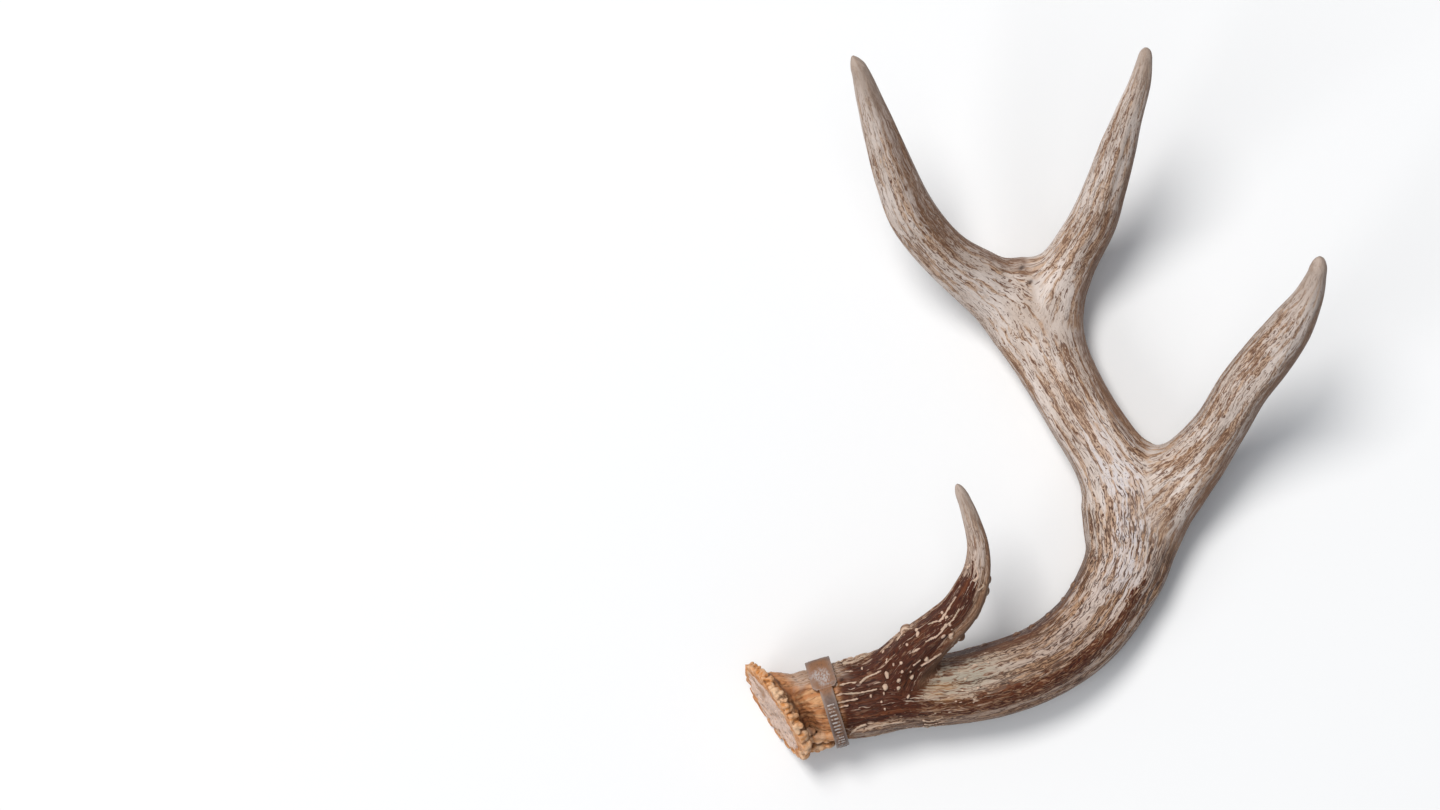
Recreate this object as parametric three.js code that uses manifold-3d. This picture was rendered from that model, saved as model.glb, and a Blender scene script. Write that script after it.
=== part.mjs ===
// A four-point deer antler with a plastic identification band round its neck.
// Millimetres, +Z up. The antler lies on its outer side, tines curving upwards,
// its long way along Y. The origin is under the middle of the whole, on the floor.
import * as THREE from 'three';
import { mergeVertices } from 'three/addons/utils/BufferGeometryUtils.js';
import Module from 'manifold-3d';

const wasm = await Module();
wasm.setup();

// ---------------------------------------------------------------- dimensions
// Each limb is a list of stations: x, y, z of the middle, half width, half depth.
const BEAM = [
  [-111.4, -136.0, 24.9, 15.2, 16.0],
  [-99.6, -133.9, 26.2, 14.8, 15.8],
  [-88.3, -131.6, 25.6, 16.2, 16.8],
  [-77.0, -129.8, 24.8, 17.6, 17.8],
  [-63.5, -127.2, 24.4, 18.3, 18.4],
  [-50.5, -126.6, 24.0, 16.6, 17.6],
  [-31.9, -125.7, 24.0, 16.3, 16.6],
  [-9.9, -121.0, 24.5, 17.0, 16.0],
  [12.7, -111.8, 23.0, 16.9, 16.0],
  [30.3, -98.2, 20.0, 17.5, 16.5],
  [42.0, -82.2, 17.5, 18.2, 17.0],
  [48.9, -67.2, 17.5, 19.6, 17.5],
  [49.7, -51.2, 18.5, 21.2, 17.5],
  [47.6, -35.8, 20.0, 21.2, 17.0],
  [38.4, -19.4, 21.0, 16.5, 16.0],
  [26.5, -0.4, 20.0, 15.9, 15.0],
  [14.6, 21.8, 17.0, 16.6, 15.0],
  [4.0, 40.5, 17.5, 18.6, 14.5],
  [-5.6, 50.6, 21.0, 16.4, 14.0],
  [-17.2, 58.4, 27.5, 14.4, 13.0],
  [-34.0, 69.9, 41.0, 12.1, 11.5],
  [-49.3, 85.5, 56.0, 11.0, 10.5],
  [-58.2, 102.9, 71.0, 9.5, 9.2],
  [-65.3, 120.3, 86.0, 7.7, 7.7],
  [-71.1, 135.5, 99.0, 5.7, 5.6],
  [-75.1, 146.2, 108.0, 3.9, 3.9],
  [-78.9, 153.0, 113.0, 1.0, 1.0],
];
const SECOND = [
  [53.4, -50.0, 19.0, 18.9, 15.0],
  [66.4, -35.0, 24.0, 17.1, 14.0],
  [78.7, -20.9, 33.0, 13.9, 13.0],
  [87.7, -6.9, 45.0, 11.6, 11.5],
  [95.6, 9.7, 62.0, 11.1, 11.0],
  [104.1, 23.0, 76.0, 10.9, 10.5],
  [112.0, 36.1, 93.0, 9.6, 9.3],
  [118.1, 49.4, 110.0, 6.4, 6.4],
  [120.2, 58.5, 120.0, 4.2, 4.2],
  [121.0, 65.7, 126.0, 1.0, 1.0],
];
const THIRD = [
  [7.8, 35.4, 17.0, 15.6, 13.0],
  [15.6, 54.6, 21.0, 13.9, 12.5],
  [23.5, 69.8, 29.0, 11.4, 11.5],
  [30.5, 83.6, 42.0, 10.5, 10.5],
  [35.0, 98.5, 57.0, 9.3, 9.6],
  [38.7, 113.5, 74.0, 8.3, 8.6],
  [42.1, 127.7, 91.0, 6.4, 6.6],
  [45.9, 141.8, 106.0, 4.8, 4.9],
  [47.1, 151.1, 114.0, 3.3, 3.4],
  [47.5, 155.8, 117.0, 0.9, 0.9],
];
const BROW = [
  [-57.0, -119.4, 28.0, 13.6, 14.0],
  [-47.8, -107.8, 40.0, 11.2, 12.2],
  [-36.9, -96.9, 50.0, 9.2, 10.2],
  [-29.7, -89.0, 56.0, 8.3, 9.0],
  [-25.0, -79.7, 62.0, 7.5, 7.8],
  [-22.3, -70.2, 67.0, 6.1, 6.5],
  [-22.2, -59.5, 72.0, 4.9, 5.2],
  [-25.0, -48.9, 76.0, 4.0, 4.2],
  [-28.3, -40.0, 79.0, 3.1, 3.2],
  [-32.2, -31.9, 81.0, 0.9, 0.9],
];

// The burr: a knobbly ring round the cut seat, tilted against the beam.
const SEAT_CENTRE = new THREE.Vector3(-111.6, -136.0, 24.9);
const SEAT_NORMAL = new THREE.Vector3(-0.831, -0.518, 0.208).normalize();
const BURR = [ // distance from the seat plane, radius
  [0.0, 21.2],
  [1.0, 22.8],
  [3.2, 23.6],
  [5.6, 22.2],
  [7.8, 18.8],
  [10.2, 16.4],
];
const BURR_KNOBS = 26;
const BURR_KNOB_RADIUS = 3.2;
const STRAIGHTEN = 30; // length over which the tilted rings turn square to the beam

const BLEND = 13; // width of the rounding in the two upper forks
const BROW_BLEND = 6; // width of the rounding where the brow tine leaves the beam
const GAP = 0.3; // gap between the pieces at a fork

// The band: a loop in a plane across the neck, with its wide head on the upper side.
const BAND_CENTRE = new THREE.Vector3(-85.9, -132.3, 25.5);
const BAND_ACROSS = new THREE.Vector3(0.292, -0.956, 0).normalize();
const BAND_THICKNESS = 1.3;
const STRAP_WIDTH = 6.0;
const HEAD_WIDTH = 11.4;
const SLOT_LENGTH = 2.6;
const SLOT_WIDTH = 7.2;
const LADDER_STEPS = 8;
const STRAP_PATH = [ // across the neck, height
  [-9.9, 42.3],
  [-5.0, 44.9],
  [0.8, 45.8],
  [7.4, 44.4],
  [13.2, 40.4],
  [17.6, 34.6],
  [19.2, 26.5],
  [18.6, 18.4],
  [15.8, 11.4],
  [10.8, 6.6],
  [6.4, 4.2],
  [1.6, 2.2],
];
const HEAD_PATH = [
  [-8.6, 43.2],
  [-14.0, 40.0],
  [-19.4, 36.2],
  [-20.8, 33.6],
  [-20.4, 30.0],
  [-19.6, 22.4],
  [-16.8, 13.6],
  [-11.2, 7.4],
  [-3.6, 4.8],
  [4.2, 4.4],
  [12.0, 6.0],
];

// ------------------------------------------------------------------- helpers
let seed = 41;
function random() {
  seed = (seed * 16807) % 2147483647;
  return seed / 2147483647;
}

function solid(geometry) {
  const bare = geometry.clone();
  bare.deleteAttribute('normal');
  bare.deleteAttribute('uv');
  const merged = mergeVertices(bare, 1e-4);
  return new wasm.Manifold(new wasm.Mesh({
    numProp: 3,
    vertProperties: new Float32Array(merged.attributes.position.array),
    triVerts: new Uint32Array(merged.index.array),
  }));
}

function geometryOf(body) {
  const mesh = body.getMesh();
  const positions = new Float32Array(mesh.numVert * 3);
  for (let i = 0; i < mesh.numVert; i += 1) {
    for (let k = 0; k < 3; k += 1) {
      positions[3 * i + k] = mesh.vertProperties[mesh.numProp * i + k];
    }
  }
  const geometry = new THREE.BufferGeometry();
  geometry.setAttribute('position', new THREE.BufferAttribute(positions, 3));
  geometry.setIndex(new THREE.BufferAttribute(new Uint32Array(mesh.triVerts), 1));
  return geometry;
}

function smooth(from, to, value) {
  const t = Math.min(1, Math.max(0, (value - from) / (to - from)));
  return t * t * (3 - 2 * t);
}

// ------------------------------------------------------- limbs of the antler
// A limb knows its middle line, its half sizes and its length up to any place.
function limb(stations) {
  const path = new THREE.CatmullRomCurve3(
    stations.map(([x, y, z]) => new THREE.Vector3(x, y, z)));
  const size = new THREE.CatmullRomCurve3(
    stations.map(([, , , a, b]) => new THREE.Vector3(a, b, 0)), false, 'catmullrom', 0.4);
  const spans = stations.length - 1;
  const samples = [];
  let length = 0;
  for (let i = 0; i <= spans * 10; i += 1) {
    const t = i / (spans * 10);
    const point = path.getPoint(t);
    if (i > 0) {
      length += point.distanceTo(samples[i - 1].point);
    }
    samples.push({ t, point, length });
  }
  return { path, size, spans, samples, length };
}

function frameAt(line, t) {
  const point = line.path.getPoint(t);
  const along = line.path.getTangent(t);
  const side = new THREE.Vector3(-along.y, along.x, 0).normalize();
  const up = along.clone().cross(side);
  const half = line.size.getPoint(t);
  return { point, along, side, up, a: half.x, b: half.y };
}

// Places of the rings: evenly by length, then round over the tip.
function ringPlaces(line, step, start) {
  const places = [];
  const { samples } = line;
  const tipFrom = 1 - 1 / line.spans;
  const first = samples.find((s) => s.t >= start - 1e-9).length;
  const last = samples.find((s) => s.t >= tipFrom - 1e-9).length;
  const count = Math.max(1, Math.round((last - first) / step));
  for (let i = 0; i <= count; i += 1) {
    const want = first + (last - first) * (i / count);
    const next = samples.findIndex((s) => s.length >= want - 1e-9);
    const high = samples[Math.max(1, next)];
    const low = samples[Math.max(1, next) - 1];
    const part = (want - low.length) / (high.length - low.length);
    places.push({ t: low.t + (high.t - low.t) * part, shrink: 1, length: want });
  }
  for (let i = 1; i <= 3; i += 1) {
    const turn = (i / 3.25) * Math.PI * 0.5;
    const reach = Math.sin(turn) / Math.sin((3 / 3.25) * Math.PI * 0.5);
    places.push({
      t: tipFrom + (1 - tipFrom) * reach,
      shrink: Math.cos(turn),
      length: last + (line.length - last) * reach,
    });
  }
  return places;
}

// Bends a cylinder along the rings. Each ring is a centre, two axes and half sizes.
function tube(rings, sides, relief) {
  const cylinder = new THREE.CylinderGeometry(1, 1, 1, sides, rings.length - 1);
  const position = cylinder.attributes.position;
  for (let i = 0; i < position.count; i += 1) {
    const ring = rings[Math.round((position.getY(i) + 0.5) * (rings.length - 1))];
    const x = position.getX(i);
    const z = position.getZ(i);
    const radius = Math.hypot(x, z);
    const angle = Math.atan2(-z, x);
    const raised = radius > 0.5 ? relief(ring, angle) : 0;
    const place = ring.point.clone();
    place.addScaledVector(ring.side, radius * (ring.a + raised) * Math.cos(angle));
    place.addScaledVector(ring.up, radius * (ring.b + raised) * Math.sin(angle));
    position.setXYZ(i, place.x, place.y, place.z);
  }
  return solid(cylinder);
}

// Lengthwise gutters and swellings, strong near the burr and fading to the tips.
function gutters(strength, turn) {
  return (ring, angle) => {
    const s = ring.length;
    const fade = strength * (0.35 + 0.65 * Math.exp(-s / 160)) * ring.calm;
    return fade * (
      0.34 * Math.cos(5 * angle + turn + s * 0.012)
      + 0.26 * Math.cos(8 * angle - 1.3 * turn - s * 0.017)
      + 0.18 * Math.cos(11 * angle + 2.1 * turn + 1.5 * Math.sin(s * 0.05))
      + 0.3 * Math.sin(s * 0.062 + turn + Math.cos(angle)));
  };
}

function sweep(line, { step, sides, start = 0, strength = 1, turn = 0 }) {
  const rings = ringPlaces(line, step, start).map(({ t, shrink, length }) => {
    const frame = frameAt(line, t);
    const tipped = shrink < 1 ? frameAt(line, 1 - 1 / line.spans) : frame;
    return {
      ...frame,
      a: tipped.a * shrink,
      b: tipped.b * shrink,
      length,
      calm: shrink < 1 ? 0 : Math.min(1, frame.a / 7) ** 2,
    };
  });
  return tube(rings, sides, gutters(strength, turn));
}

const beam = limb(BEAM);
const second = limb(SECOND);
const third = limb(THIRD);
const brow = limb(BROW);

// The beam's first rings lie in the tilted plane of the burr.
function burrRings() {
  const inward = SEAT_NORMAL.clone().negate();
  const side = new THREE.Vector3(-inward.y, inward.x, 0).normalize();
  const up = inward.clone().cross(side);
  return BURR.map(([depth, radius]) => ({
    point: SEAT_CENTRE.clone().addScaledVector(inward, depth),
    side,
    up,
    a: radius,
    b: radius * 0.99,
    length: depth,
    calm: depth > 5 ? 0.6 : 0,
  }));
}

function beamBody() {
  const rings = burrRings();
  const inward = SEAT_NORMAL.clone().negate();
  for (const { t, shrink, length } of ringPlaces(beam, 8.6, 1.25 / beam.spans)) {
    const frame = frameAt(beam, t);
    const turned = smooth(8, STRAIGHTEN, length);
    const normal = inward.clone().lerp(frame.along, turned).normalize();
    const side = new THREE.Vector3(-normal.y, normal.x, 0).normalize();
    const up = normal.clone().cross(side);
    const tipped = shrink < 1 ? frameAt(beam, 1 - 1 / beam.spans) : frame;
    const slant = 1 / Math.max(0.8, Math.abs(side.dot(frame.side)));
    const banded = 1 - 0.8 * Math.exp(-(((length - 21) / 7) ** 2));
    rings.push({
      ...frame,
      side,
      up,
      a: tipped.a * shrink * slant,
      b: tipped.b * shrink,
      length,
      calm: (shrink < 1 ? 0 : Math.min(1, frame.a / 7) ** 2) * banded,
    });
  }
  return tube(rings, 22, gutters(1.5, 0.7));
}

// -------------------------------------------------------- lumps on the antler
function lump(point, radius, stretch = 1, along = new THREE.Vector3(1, 0, 0)) {
  const ball = radius > 2.1
    ? new THREE.IcosahedronGeometry(radius, 0)
    : new THREE.OctahedronGeometry(radius * 1.2, 0);
  ball.rotateX(random() * 3);
  ball.rotateY(random() * 3);
  ball.scale(stretch, 1, 1);
  ball.applyQuaternion(new THREE.Quaternion().setFromUnitVectors(
    new THREE.Vector3(1, 0, 0), along.clone().normalize()));
  ball.translate(point.x, point.y, point.z);
  return solid(ball);
}

// A place on a limb's skin, by length share, angle (90 degrees is up) and sinking.
function onSkin(line, t, degrees, sink = 0) {
  const frame = frameAt(line, t);
  const angle = THREE.MathUtils.degToRad(degrees);
  const place = frame.point.clone();
  place.addScaledVector(frame.side, (frame.a - sink) * Math.cos(angle));
  place.addScaledVector(frame.up, (frame.b - sink) * Math.sin(angle));
  return { place, along: frame.along };
}

function burrLumps() {
  const lumps = [];
  const inward = SEAT_NORMAL.clone().negate();
  const side = new THREE.Vector3(-inward.y, inward.x, 0).normalize();
  const up = inward.clone().cross(side);
  for (let i = 0; i < BURR_KNOBS; i += 1) {
    const angle = ((i + 0.5 * random()) / BURR_KNOBS) * Math.PI * 2;
    const low = Math.cos(angle) < -0.2 ? 1 : 0;
    const size = BURR_KNOB_RADIUS * (0.75 + 0.4 * random());
    const reach = 22.0 + 1.3 * low + random();
    const place = SEAT_CENTRE.clone()
      .addScaledVector(side, reach * Math.cos(angle))
      .addScaledVector(up, reach * Math.sin(angle))
      .addScaledVector(inward, 2.9 + 1.4 * random() - 0.8 * low);
    lumps.push(lump(place, size));
    if (low) {
      const deep = [5.0, 9.2, 13.6][i % 3];
      const drop = [1.2, 3.0, 4.6][i % 3];
      const shelf = place.clone()
        .addScaledVector(inward, deep)
        .addScaledVector(side, -drop * Math.cos(angle))
        .addScaledVector(up, -drop * Math.sin(angle));
      lumps.push(lump(shelf, size * 0.85));
    }
  }
  return lumps;
}

function pearls() {
  const lumps = [];
  for (let i = 0; i < 17; i += 1) {
    const t = (3.25 + 3.1 * ((i * 0.618034 + 0.1 * random()) % 1)) / beam.spans;
    const degrees = (i * 137.5 + 20 * random()) % 360;
    const under = Math.abs(degrees - 270) < 45;
    if (under) {
      continue;
    }
    const size = 1.2 + 0.9 * random();
    const { place, along } = onSkin(beam, t, degrees, 0.35 * size);
    lumps.push(lump(place, size, i % 3 === 0 ? 2.6 : 1.25, along));
  }
  for (let i = 0; i < 14; i += 1) {
    const t = (1.0 + 2.4 * ((i * 0.618034) % 1)) / brow.spans;
    const { place, along } = onSkin(brow, t, (i * 137.5 + 15) % 360, 0.5);
    lumps.push(lump(place, 1.1 + 0.7 * random(), i % 3 === 0 ? 2.2 : 1.2, along));
  }
  return lumps;
}

// Low knobs on the neck's outer edge, between the burr and the band.
const NECK_KNOBS = [ // x, y, z, radius
  [-98.5, -151.2, 25.0, 3.6],
  [-94.6, -150.4, 29.0, 3.2],
  [-91.2, -148.9, 24.0, 3.5],
  [-91.8, -148.4, 33.0, 2.8],
];

// Single darker knobs: on the brow tine's edges and along the beam's inner edge.
const KNOBS = [ // limb, station, degrees, radius
  [brow, 2.15, 196, 2.2],
  [brow, 4.2, 184, 1.6],
  [brow, 4.7, 178, 1.4],
  [brow, 1.3, 10, 2.1],
  [beam, 3.6, 10, 2.4],
  [beam, 7.6, 12, 1.9],
  [beam, 8.0, 8, 2.1],
  [beam, 8.5, 6, 2.0],
  [beam, 9.1, 3, 1.8],
  [beam, 9.6, 5, 2.4],
  [beam, 5.4, 176, 1.8],
];

function knobs() {
  const low = NECK_KNOBS.map(([x, y, z, radius]) => lump(new THREE.Vector3(x, y, z), radius));
  return low.concat(KNOBS.map(([line, station, degrees, radius]) => {
    const { place, along } = onSkin(line, station / line.spans, degrees, 0.4 * radius);
    return lump(place, radius, 1.5, along);
  }));
}

// ----------------------------------------------------- rounding of the forks
// How far a point is outside a limb, and the way straight out of it.
function outside(line, point) {
  let best = null;
  for (const sample of line.coarse) {
    const away = point.distanceToSquared(sample.point);
    if (best === null || away < best.away) {
      best = { away, sample };
    }
  }
  const { frame } = best.sample;
  const from = point.clone().sub(frame.point);
  const along = from.dot(frame.along);
  const x = from.dot(frame.side);
  const y = from.dot(frame.up);
  const share = Math.hypot(x / frame.a, y / frame.b);
  const way = new THREE.Vector3()
    .addScaledVector(frame.side, x / frame.a ** 2)
    .addScaledVector(frame.up, y / frame.b ** 2)
    .normalize();
  const past = Math.max(0, Math.abs(along) - 3);
  const distance = (share - 1) * Math.hypot(x, y) / Math.max(share, 0.01) + past;
  return { distance, way };
}

for (const line of [beam, second, third, brow]) {
  line.coarse = line.samples
    .filter((sample, i) => i % 2 === 0 && sample.t < 1 - 0.9 / line.spans)
    .map((sample) => ({ point: sample.point, frame: frameAt(line, sample.t) }));
}

function roundForks(body) {
  const geometry = geometryOf(body);
  const position = geometry.attributes.position;
  const forks = [
    [beam, second, second.path.getPoint(0), BLEND],
    [beam, third, third.path.getPoint(0), BLEND],
    [beam, brow, brow.path.getPoint(0), BROW_BLEND],
  ];
  const point = new THREE.Vector3();
  for (let i = 0; i < position.count; i += 1) {
    point.fromBufferAttribute(position, i);
    for (const [one, other, middle, blend] of forks) {
      if (point.distanceTo(middle) > 75) {
        continue;
      }
      const first = outside(one, point);
      const next = outside(other, point);
      const near = Math.max(0, blend - Math.abs(first.distance - next.distance)) / blend;
      const lift = near * near * blend * 0.25;
      if (lift < 0.02) {
        continue;
      }
      const share = first.distance < next.distance ? 0.5 * near : 1 - 0.5 * near;
      const way = first.way.multiplyScalar(1 - share).addScaledVector(next.way, share);
      if (way.length() < 0.3) {
        continue;
      }
      point.addScaledVector(way.normalize(), lift);
    }
    position.setXYZ(i, point.x, point.y, point.z);
  }
  return solid(geometry);
}

// -------------------------------------------------------- the antler in bone
function antlerBodies() {
  let bone = beamBody();
  bone = bone.add(sweep(second, { step: 7.8, sides: 18, strength: 0.9, turn: 2 }));
  bone = bone.add(sweep(third, { step: 7.8, sides: 16, strength: 0.9, turn: 4 }));
  bone = bone.add(sweep(brow, { step: 6.2, sides: 16, strength: 1, turn: 5 }));
  bone = roundForks(bone);
  for (const part of [...burrLumps(), ...pearls(), ...knobs()]) {
    bone = bone.add(part);
  }
  // The seat is sawn flat, and the underside is worn flat where it rests.
  const seat = new THREE.BoxGeometry(80, 80, 20);
  seat.translate(0, 0, 10);
  seat.applyQuaternion(new THREE.Quaternion().setFromUnitVectors(
    new THREE.Vector3(0, 0, 1), SEAT_NORMAL));
  seat.translate(SEAT_CENTRE.x, SEAT_CENTRE.y, SEAT_CENTRE.z);
  bone = bone.subtract(solid(seat));
  const floor = new THREE.BoxGeometry(400, 400, 40);
  floor.translate(0, 0, -20 + FLOOR);
  bone = bone.subtract(solid(floor));
  // Thin round cuts across the limbs part the pieces at the forks.
  for (const [line, station, radius] of CUTS) {
    const frame = frameAt(line, station / line.spans);
    const disc = new THREE.CylinderGeometry(radius, radius, GAP, 16);
    disc.applyQuaternion(new THREE.Quaternion().setFromUnitVectors(
      new THREE.Vector3(0, 1, 0), frame.along));
    disc.translate(frame.point.x, frame.point.y, frame.point.z);
    bone = bone.subtract(solid(disc));
  }
  return bone.decompose();
}

const FLOOR = 0.8; // height of the floor in the frame of the stations
const CUTS = [ // limb, station, radius of the cut
  [brow, 1.75, 13.5],
  [beam, 6.6, 23],
  [beam, 14.3, 22.5],
  [second, 1.85, 18],
  [beam, 19.0, 18.5],
  [third, 1.9, 15],
];
const NODES = { // a place inside each piece: limb, station
  base_stem: [beam, 3],
  brow_tine: [brow, 5],
  main_beam: [beam, 10],
  second_tine: [second, 5],
  upper_beam: [beam, 16],
  third_tine: [third, 5],
  beam_tip: [beam, 22],
};

function pieceAt(bodies, [line, station]) {
  const point = line.path.getPoint(station / line.spans);
  const probe = solid(new THREE.IcosahedronGeometry(1, 0).translate(point.x, point.y, point.z));
  return bodies.find((body) => body.intersect(probe).volume() > 1);
}

// ----------------------------------------------------------- the plastic band
// A strip of the band: its path thickened in the band's plane and given a width.
function strip(points, width) {
  const curve = new THREE.SplineCurve(points.map(([x, y]) => new THREE.Vector2(x, y)));
  const count = points.length * 2;
  const outer = [];
  const inner = [];
  for (let i = 0; i <= count; i += 1) {
    const point = curve.getPoint(i / count);
    const along = curve.getTangent(i / count);
    const across = new THREE.Vector2(-along.y, along.x).multiplyScalar(BAND_THICKNESS / 2);
    outer.push(point.clone().add(across));
    inner.push(point.clone().sub(across));
  }
  const outline = new THREE.Shape([...outer, ...inner.reverse()]);
  const strap = new THREE.ExtrudeGeometry(outline, {
    depth: width,
    bevelEnabled: false,
    steps: 1,
  });
  strap.translate(0, 0, -width / 2);
  return strap;
}

// From the band's plane (across, height, width) into the antler's frame.
function toBandPlane(geometry) {
  const up = new THREE.Vector3(0, 0, 1);
  const wide = BAND_ACROSS.clone().cross(up);
  const turn = new THREE.Matrix4().makeBasis(BAND_ACROSS, up, wide);
  turn.setPosition(BAND_CENTRE.x, BAND_CENTRE.y, 0);
  return geometry.applyMatrix4(turn);
}

function bandBody() {
  let band = solid(toBandPlane(strip(HEAD_PATH, HEAD_WIDTH)));
  const slot = new THREE.BoxGeometry(SLOT_LENGTH, 6, SLOT_WIDTH);
  slot.rotateZ(0.1);
  slot.translate(5.9, 4.6, 0);
  band = band.subtract(solid(toBandPlane(slot)));
  band = band.add(solid(toBandPlane(strip(STRAP_PATH, STRAP_WIDTH))));
  const curve = new THREE.SplineCurve(HEAD_PATH.map(([x, y]) => new THREE.Vector2(x, y)));
  for (let i = 0; i < LADDER_STEPS; i += 1) {
    const t = 0.46 + 0.036 * i;
    const point = curve.getPoint(t);
    const along = curve.getTangent(t);
    const rung = new THREE.BoxGeometry(0.8, 1.0, HEAD_WIDTH - 3);
    rung.rotateZ(Math.atan2(along.y, along.x));
    const outward = 0.5 * BAND_THICKNESS + 0.05;
    rung.translate(point.x + outward * along.y, point.y - outward * along.x, 0);
    band = band.add(solid(toBandPlane(rung)));
  }
  return band;
}

// ------------------------------------------------------------------ the scene
const bone = { color: 0xb99f8c, roughness: 0.62, metalness: 0 };
const darkBone = { color: 0x7a5641, roughness: 0.6, metalness: 0 };
const LOOKS = {
  base_stem: darkBone,
  brow_tine: { color: 0x8f6c58, roughness: 0.6, metalness: 0 },
  main_beam: { color: 0xa98c78, roughness: 0.62, metalness: 0 },
  second_tine: bone,
  upper_beam: bone,
  third_tine: bone,
  beam_tip: bone,
  tag_band: { color: 0x9a6f4f, roughness: 0.5, metalness: 0 },
};

const antler = new THREE.Group();
const bodies = antlerBodies();
for (const [name, place] of Object.entries(NODES)) {
  const geometry = geometryOf(pieceAt(bodies, place));
  const piece = new THREE.Mesh(geometry, new THREE.MeshStandardMaterial(LOOKS[name]));
  piece.name = name;
  antler.add(piece);
}
const band = new THREE.Mesh(
  geometryOf(bandBody()),
  new THREE.MeshStandardMaterial(LOOKS.tag_band));
band.name = 'tag_band';
antler.add(band);

// The origin goes under the middle of the whole.
const box = new THREE.Box3().setFromObject(antler);
const middle = box.getCenter(new THREE.Vector3());
for (const piece of antler.children) {
  piece.geometry.translate(-middle.x, -middle.y, -box.min.z);
  piece.geometry.computeVertexNormals();
}

export default antler;
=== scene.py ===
import math
from types import SimpleNamespace

import bmesh
import bpy
import numpy as np
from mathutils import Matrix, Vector


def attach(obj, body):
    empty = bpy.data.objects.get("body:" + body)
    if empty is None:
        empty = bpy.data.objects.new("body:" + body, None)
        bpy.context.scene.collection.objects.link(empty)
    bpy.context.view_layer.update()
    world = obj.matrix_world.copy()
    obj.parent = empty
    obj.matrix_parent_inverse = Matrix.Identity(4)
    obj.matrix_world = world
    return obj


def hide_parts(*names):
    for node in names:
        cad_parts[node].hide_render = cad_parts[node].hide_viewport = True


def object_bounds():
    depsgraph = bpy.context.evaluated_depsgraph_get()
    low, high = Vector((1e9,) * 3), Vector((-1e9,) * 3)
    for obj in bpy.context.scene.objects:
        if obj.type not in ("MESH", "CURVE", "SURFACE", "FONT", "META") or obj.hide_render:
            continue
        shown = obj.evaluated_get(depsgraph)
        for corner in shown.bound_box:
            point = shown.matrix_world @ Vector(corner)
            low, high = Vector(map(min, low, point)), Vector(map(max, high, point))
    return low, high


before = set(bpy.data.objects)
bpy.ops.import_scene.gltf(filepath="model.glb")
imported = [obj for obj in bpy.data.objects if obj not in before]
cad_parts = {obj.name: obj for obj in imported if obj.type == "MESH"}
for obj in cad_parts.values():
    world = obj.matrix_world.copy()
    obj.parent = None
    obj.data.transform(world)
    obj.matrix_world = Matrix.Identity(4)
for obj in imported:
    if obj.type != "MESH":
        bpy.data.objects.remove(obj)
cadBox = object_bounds()
scene = bpy.context.scene
mm = 0.001

# Lengths below are millimetres in the stations' own frame, partShift puts them in the part's frame.
partShift = np.array([-0.1556, 0.9109, -0.8])

# camera, floor and light
camera = dict(spot=(-135.66, 3.2, 1999.2), lens=109.72, sensor=36.0, farClip=20)
lights = dict(
    keySpot=(-1850, 2450, 6000), keySize=2300, keyPower=346.0,
    fillSpot=(-4200, -2600, 3600), fillSize=3400, fillPower=115.0,
    topSpot=(-700, 500, 6800), topSize=3600, topPower=72.0,
    skyStrength=0.255, skyColour=(0.86, 0.94, 1.05), keyColour=(1.0, 0.985, 0.965),
    floorColour=(0.81, 0.81, 0.81), floorSize=3.0,
)


def makeView():
    data = bpy.data.cameras.new("mainCamera")
    data.lens = camera["lens"]
    data.sensor_width = camera["sensor"]
    data.clip_end = camera["farClip"]
    eye = bpy.data.objects.new("mainCamera", data)
    eye.location = Vector(camera["spot"]) * mm
    scene.collection.objects.link(eye)
    scene.camera = eye


def makeLight(name, spot, size, power, aim):
    data = bpy.data.lights.new(name, "AREA")
    data.shape = "DISK"
    data.size = size * mm
    data.energy = power
    data.color = lights["keyColour"] if name == "keyLight" else (1, 1, 1)
    lamp = bpy.data.objects.new(name, data)
    lamp.location = Vector(spot) * mm
    away = lamp.location - Vector(aim) * mm
    lamp.rotation_euler = away.to_track_quat("Z", "Y").to_euler()
    scene.collection.objects.link(lamp)


def makeStage():
    bm = bmesh.new()
    bmesh.ops.create_grid(bm, x_segments=1, y_segments=1, size=lights["floorSize"])
    mesh = bpy.data.meshes.new("floor")
    bm.to_mesh(mesh)
    bm.free()
    floor = bpy.data.objects.new("floor", mesh)
    scene.collection.objects.link(floor)
    paper = bpy.data.materials.new("palePaper")
    paper.use_nodes = True
    shader = paper.node_tree.nodes["Principled BSDF"]
    shader.inputs["Base Color"].default_value = (*lights["floorColour"], 1)
    shader.inputs["Roughness"].default_value = 0.9
    shader.inputs["Specular IOR Level"].default_value = 0.1
    mesh.materials.append(paper)
    for name, aim in (("key", (0, 0, 30)), ("fill", (0, 0, 0)), ("top", (0, 0, 0))):
        makeLight(name + "Light", *(lights[name + part] for part in ("Spot", "Size", "Power")), aim)
    world = bpy.data.worlds.new("softRoom")
    scene.world = world
    world.use_nodes = True
    sky = world.node_tree.nodes["Background"]
    sky.inputs["Color"].default_value = (*lights["skyColour"], 1)
    sky.inputs["Strength"].default_value = lights["skyStrength"]
    scene.view_settings.view_transform = "Standard"


makeView()
makeStage()
print("camera, floor and lights made")

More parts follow.
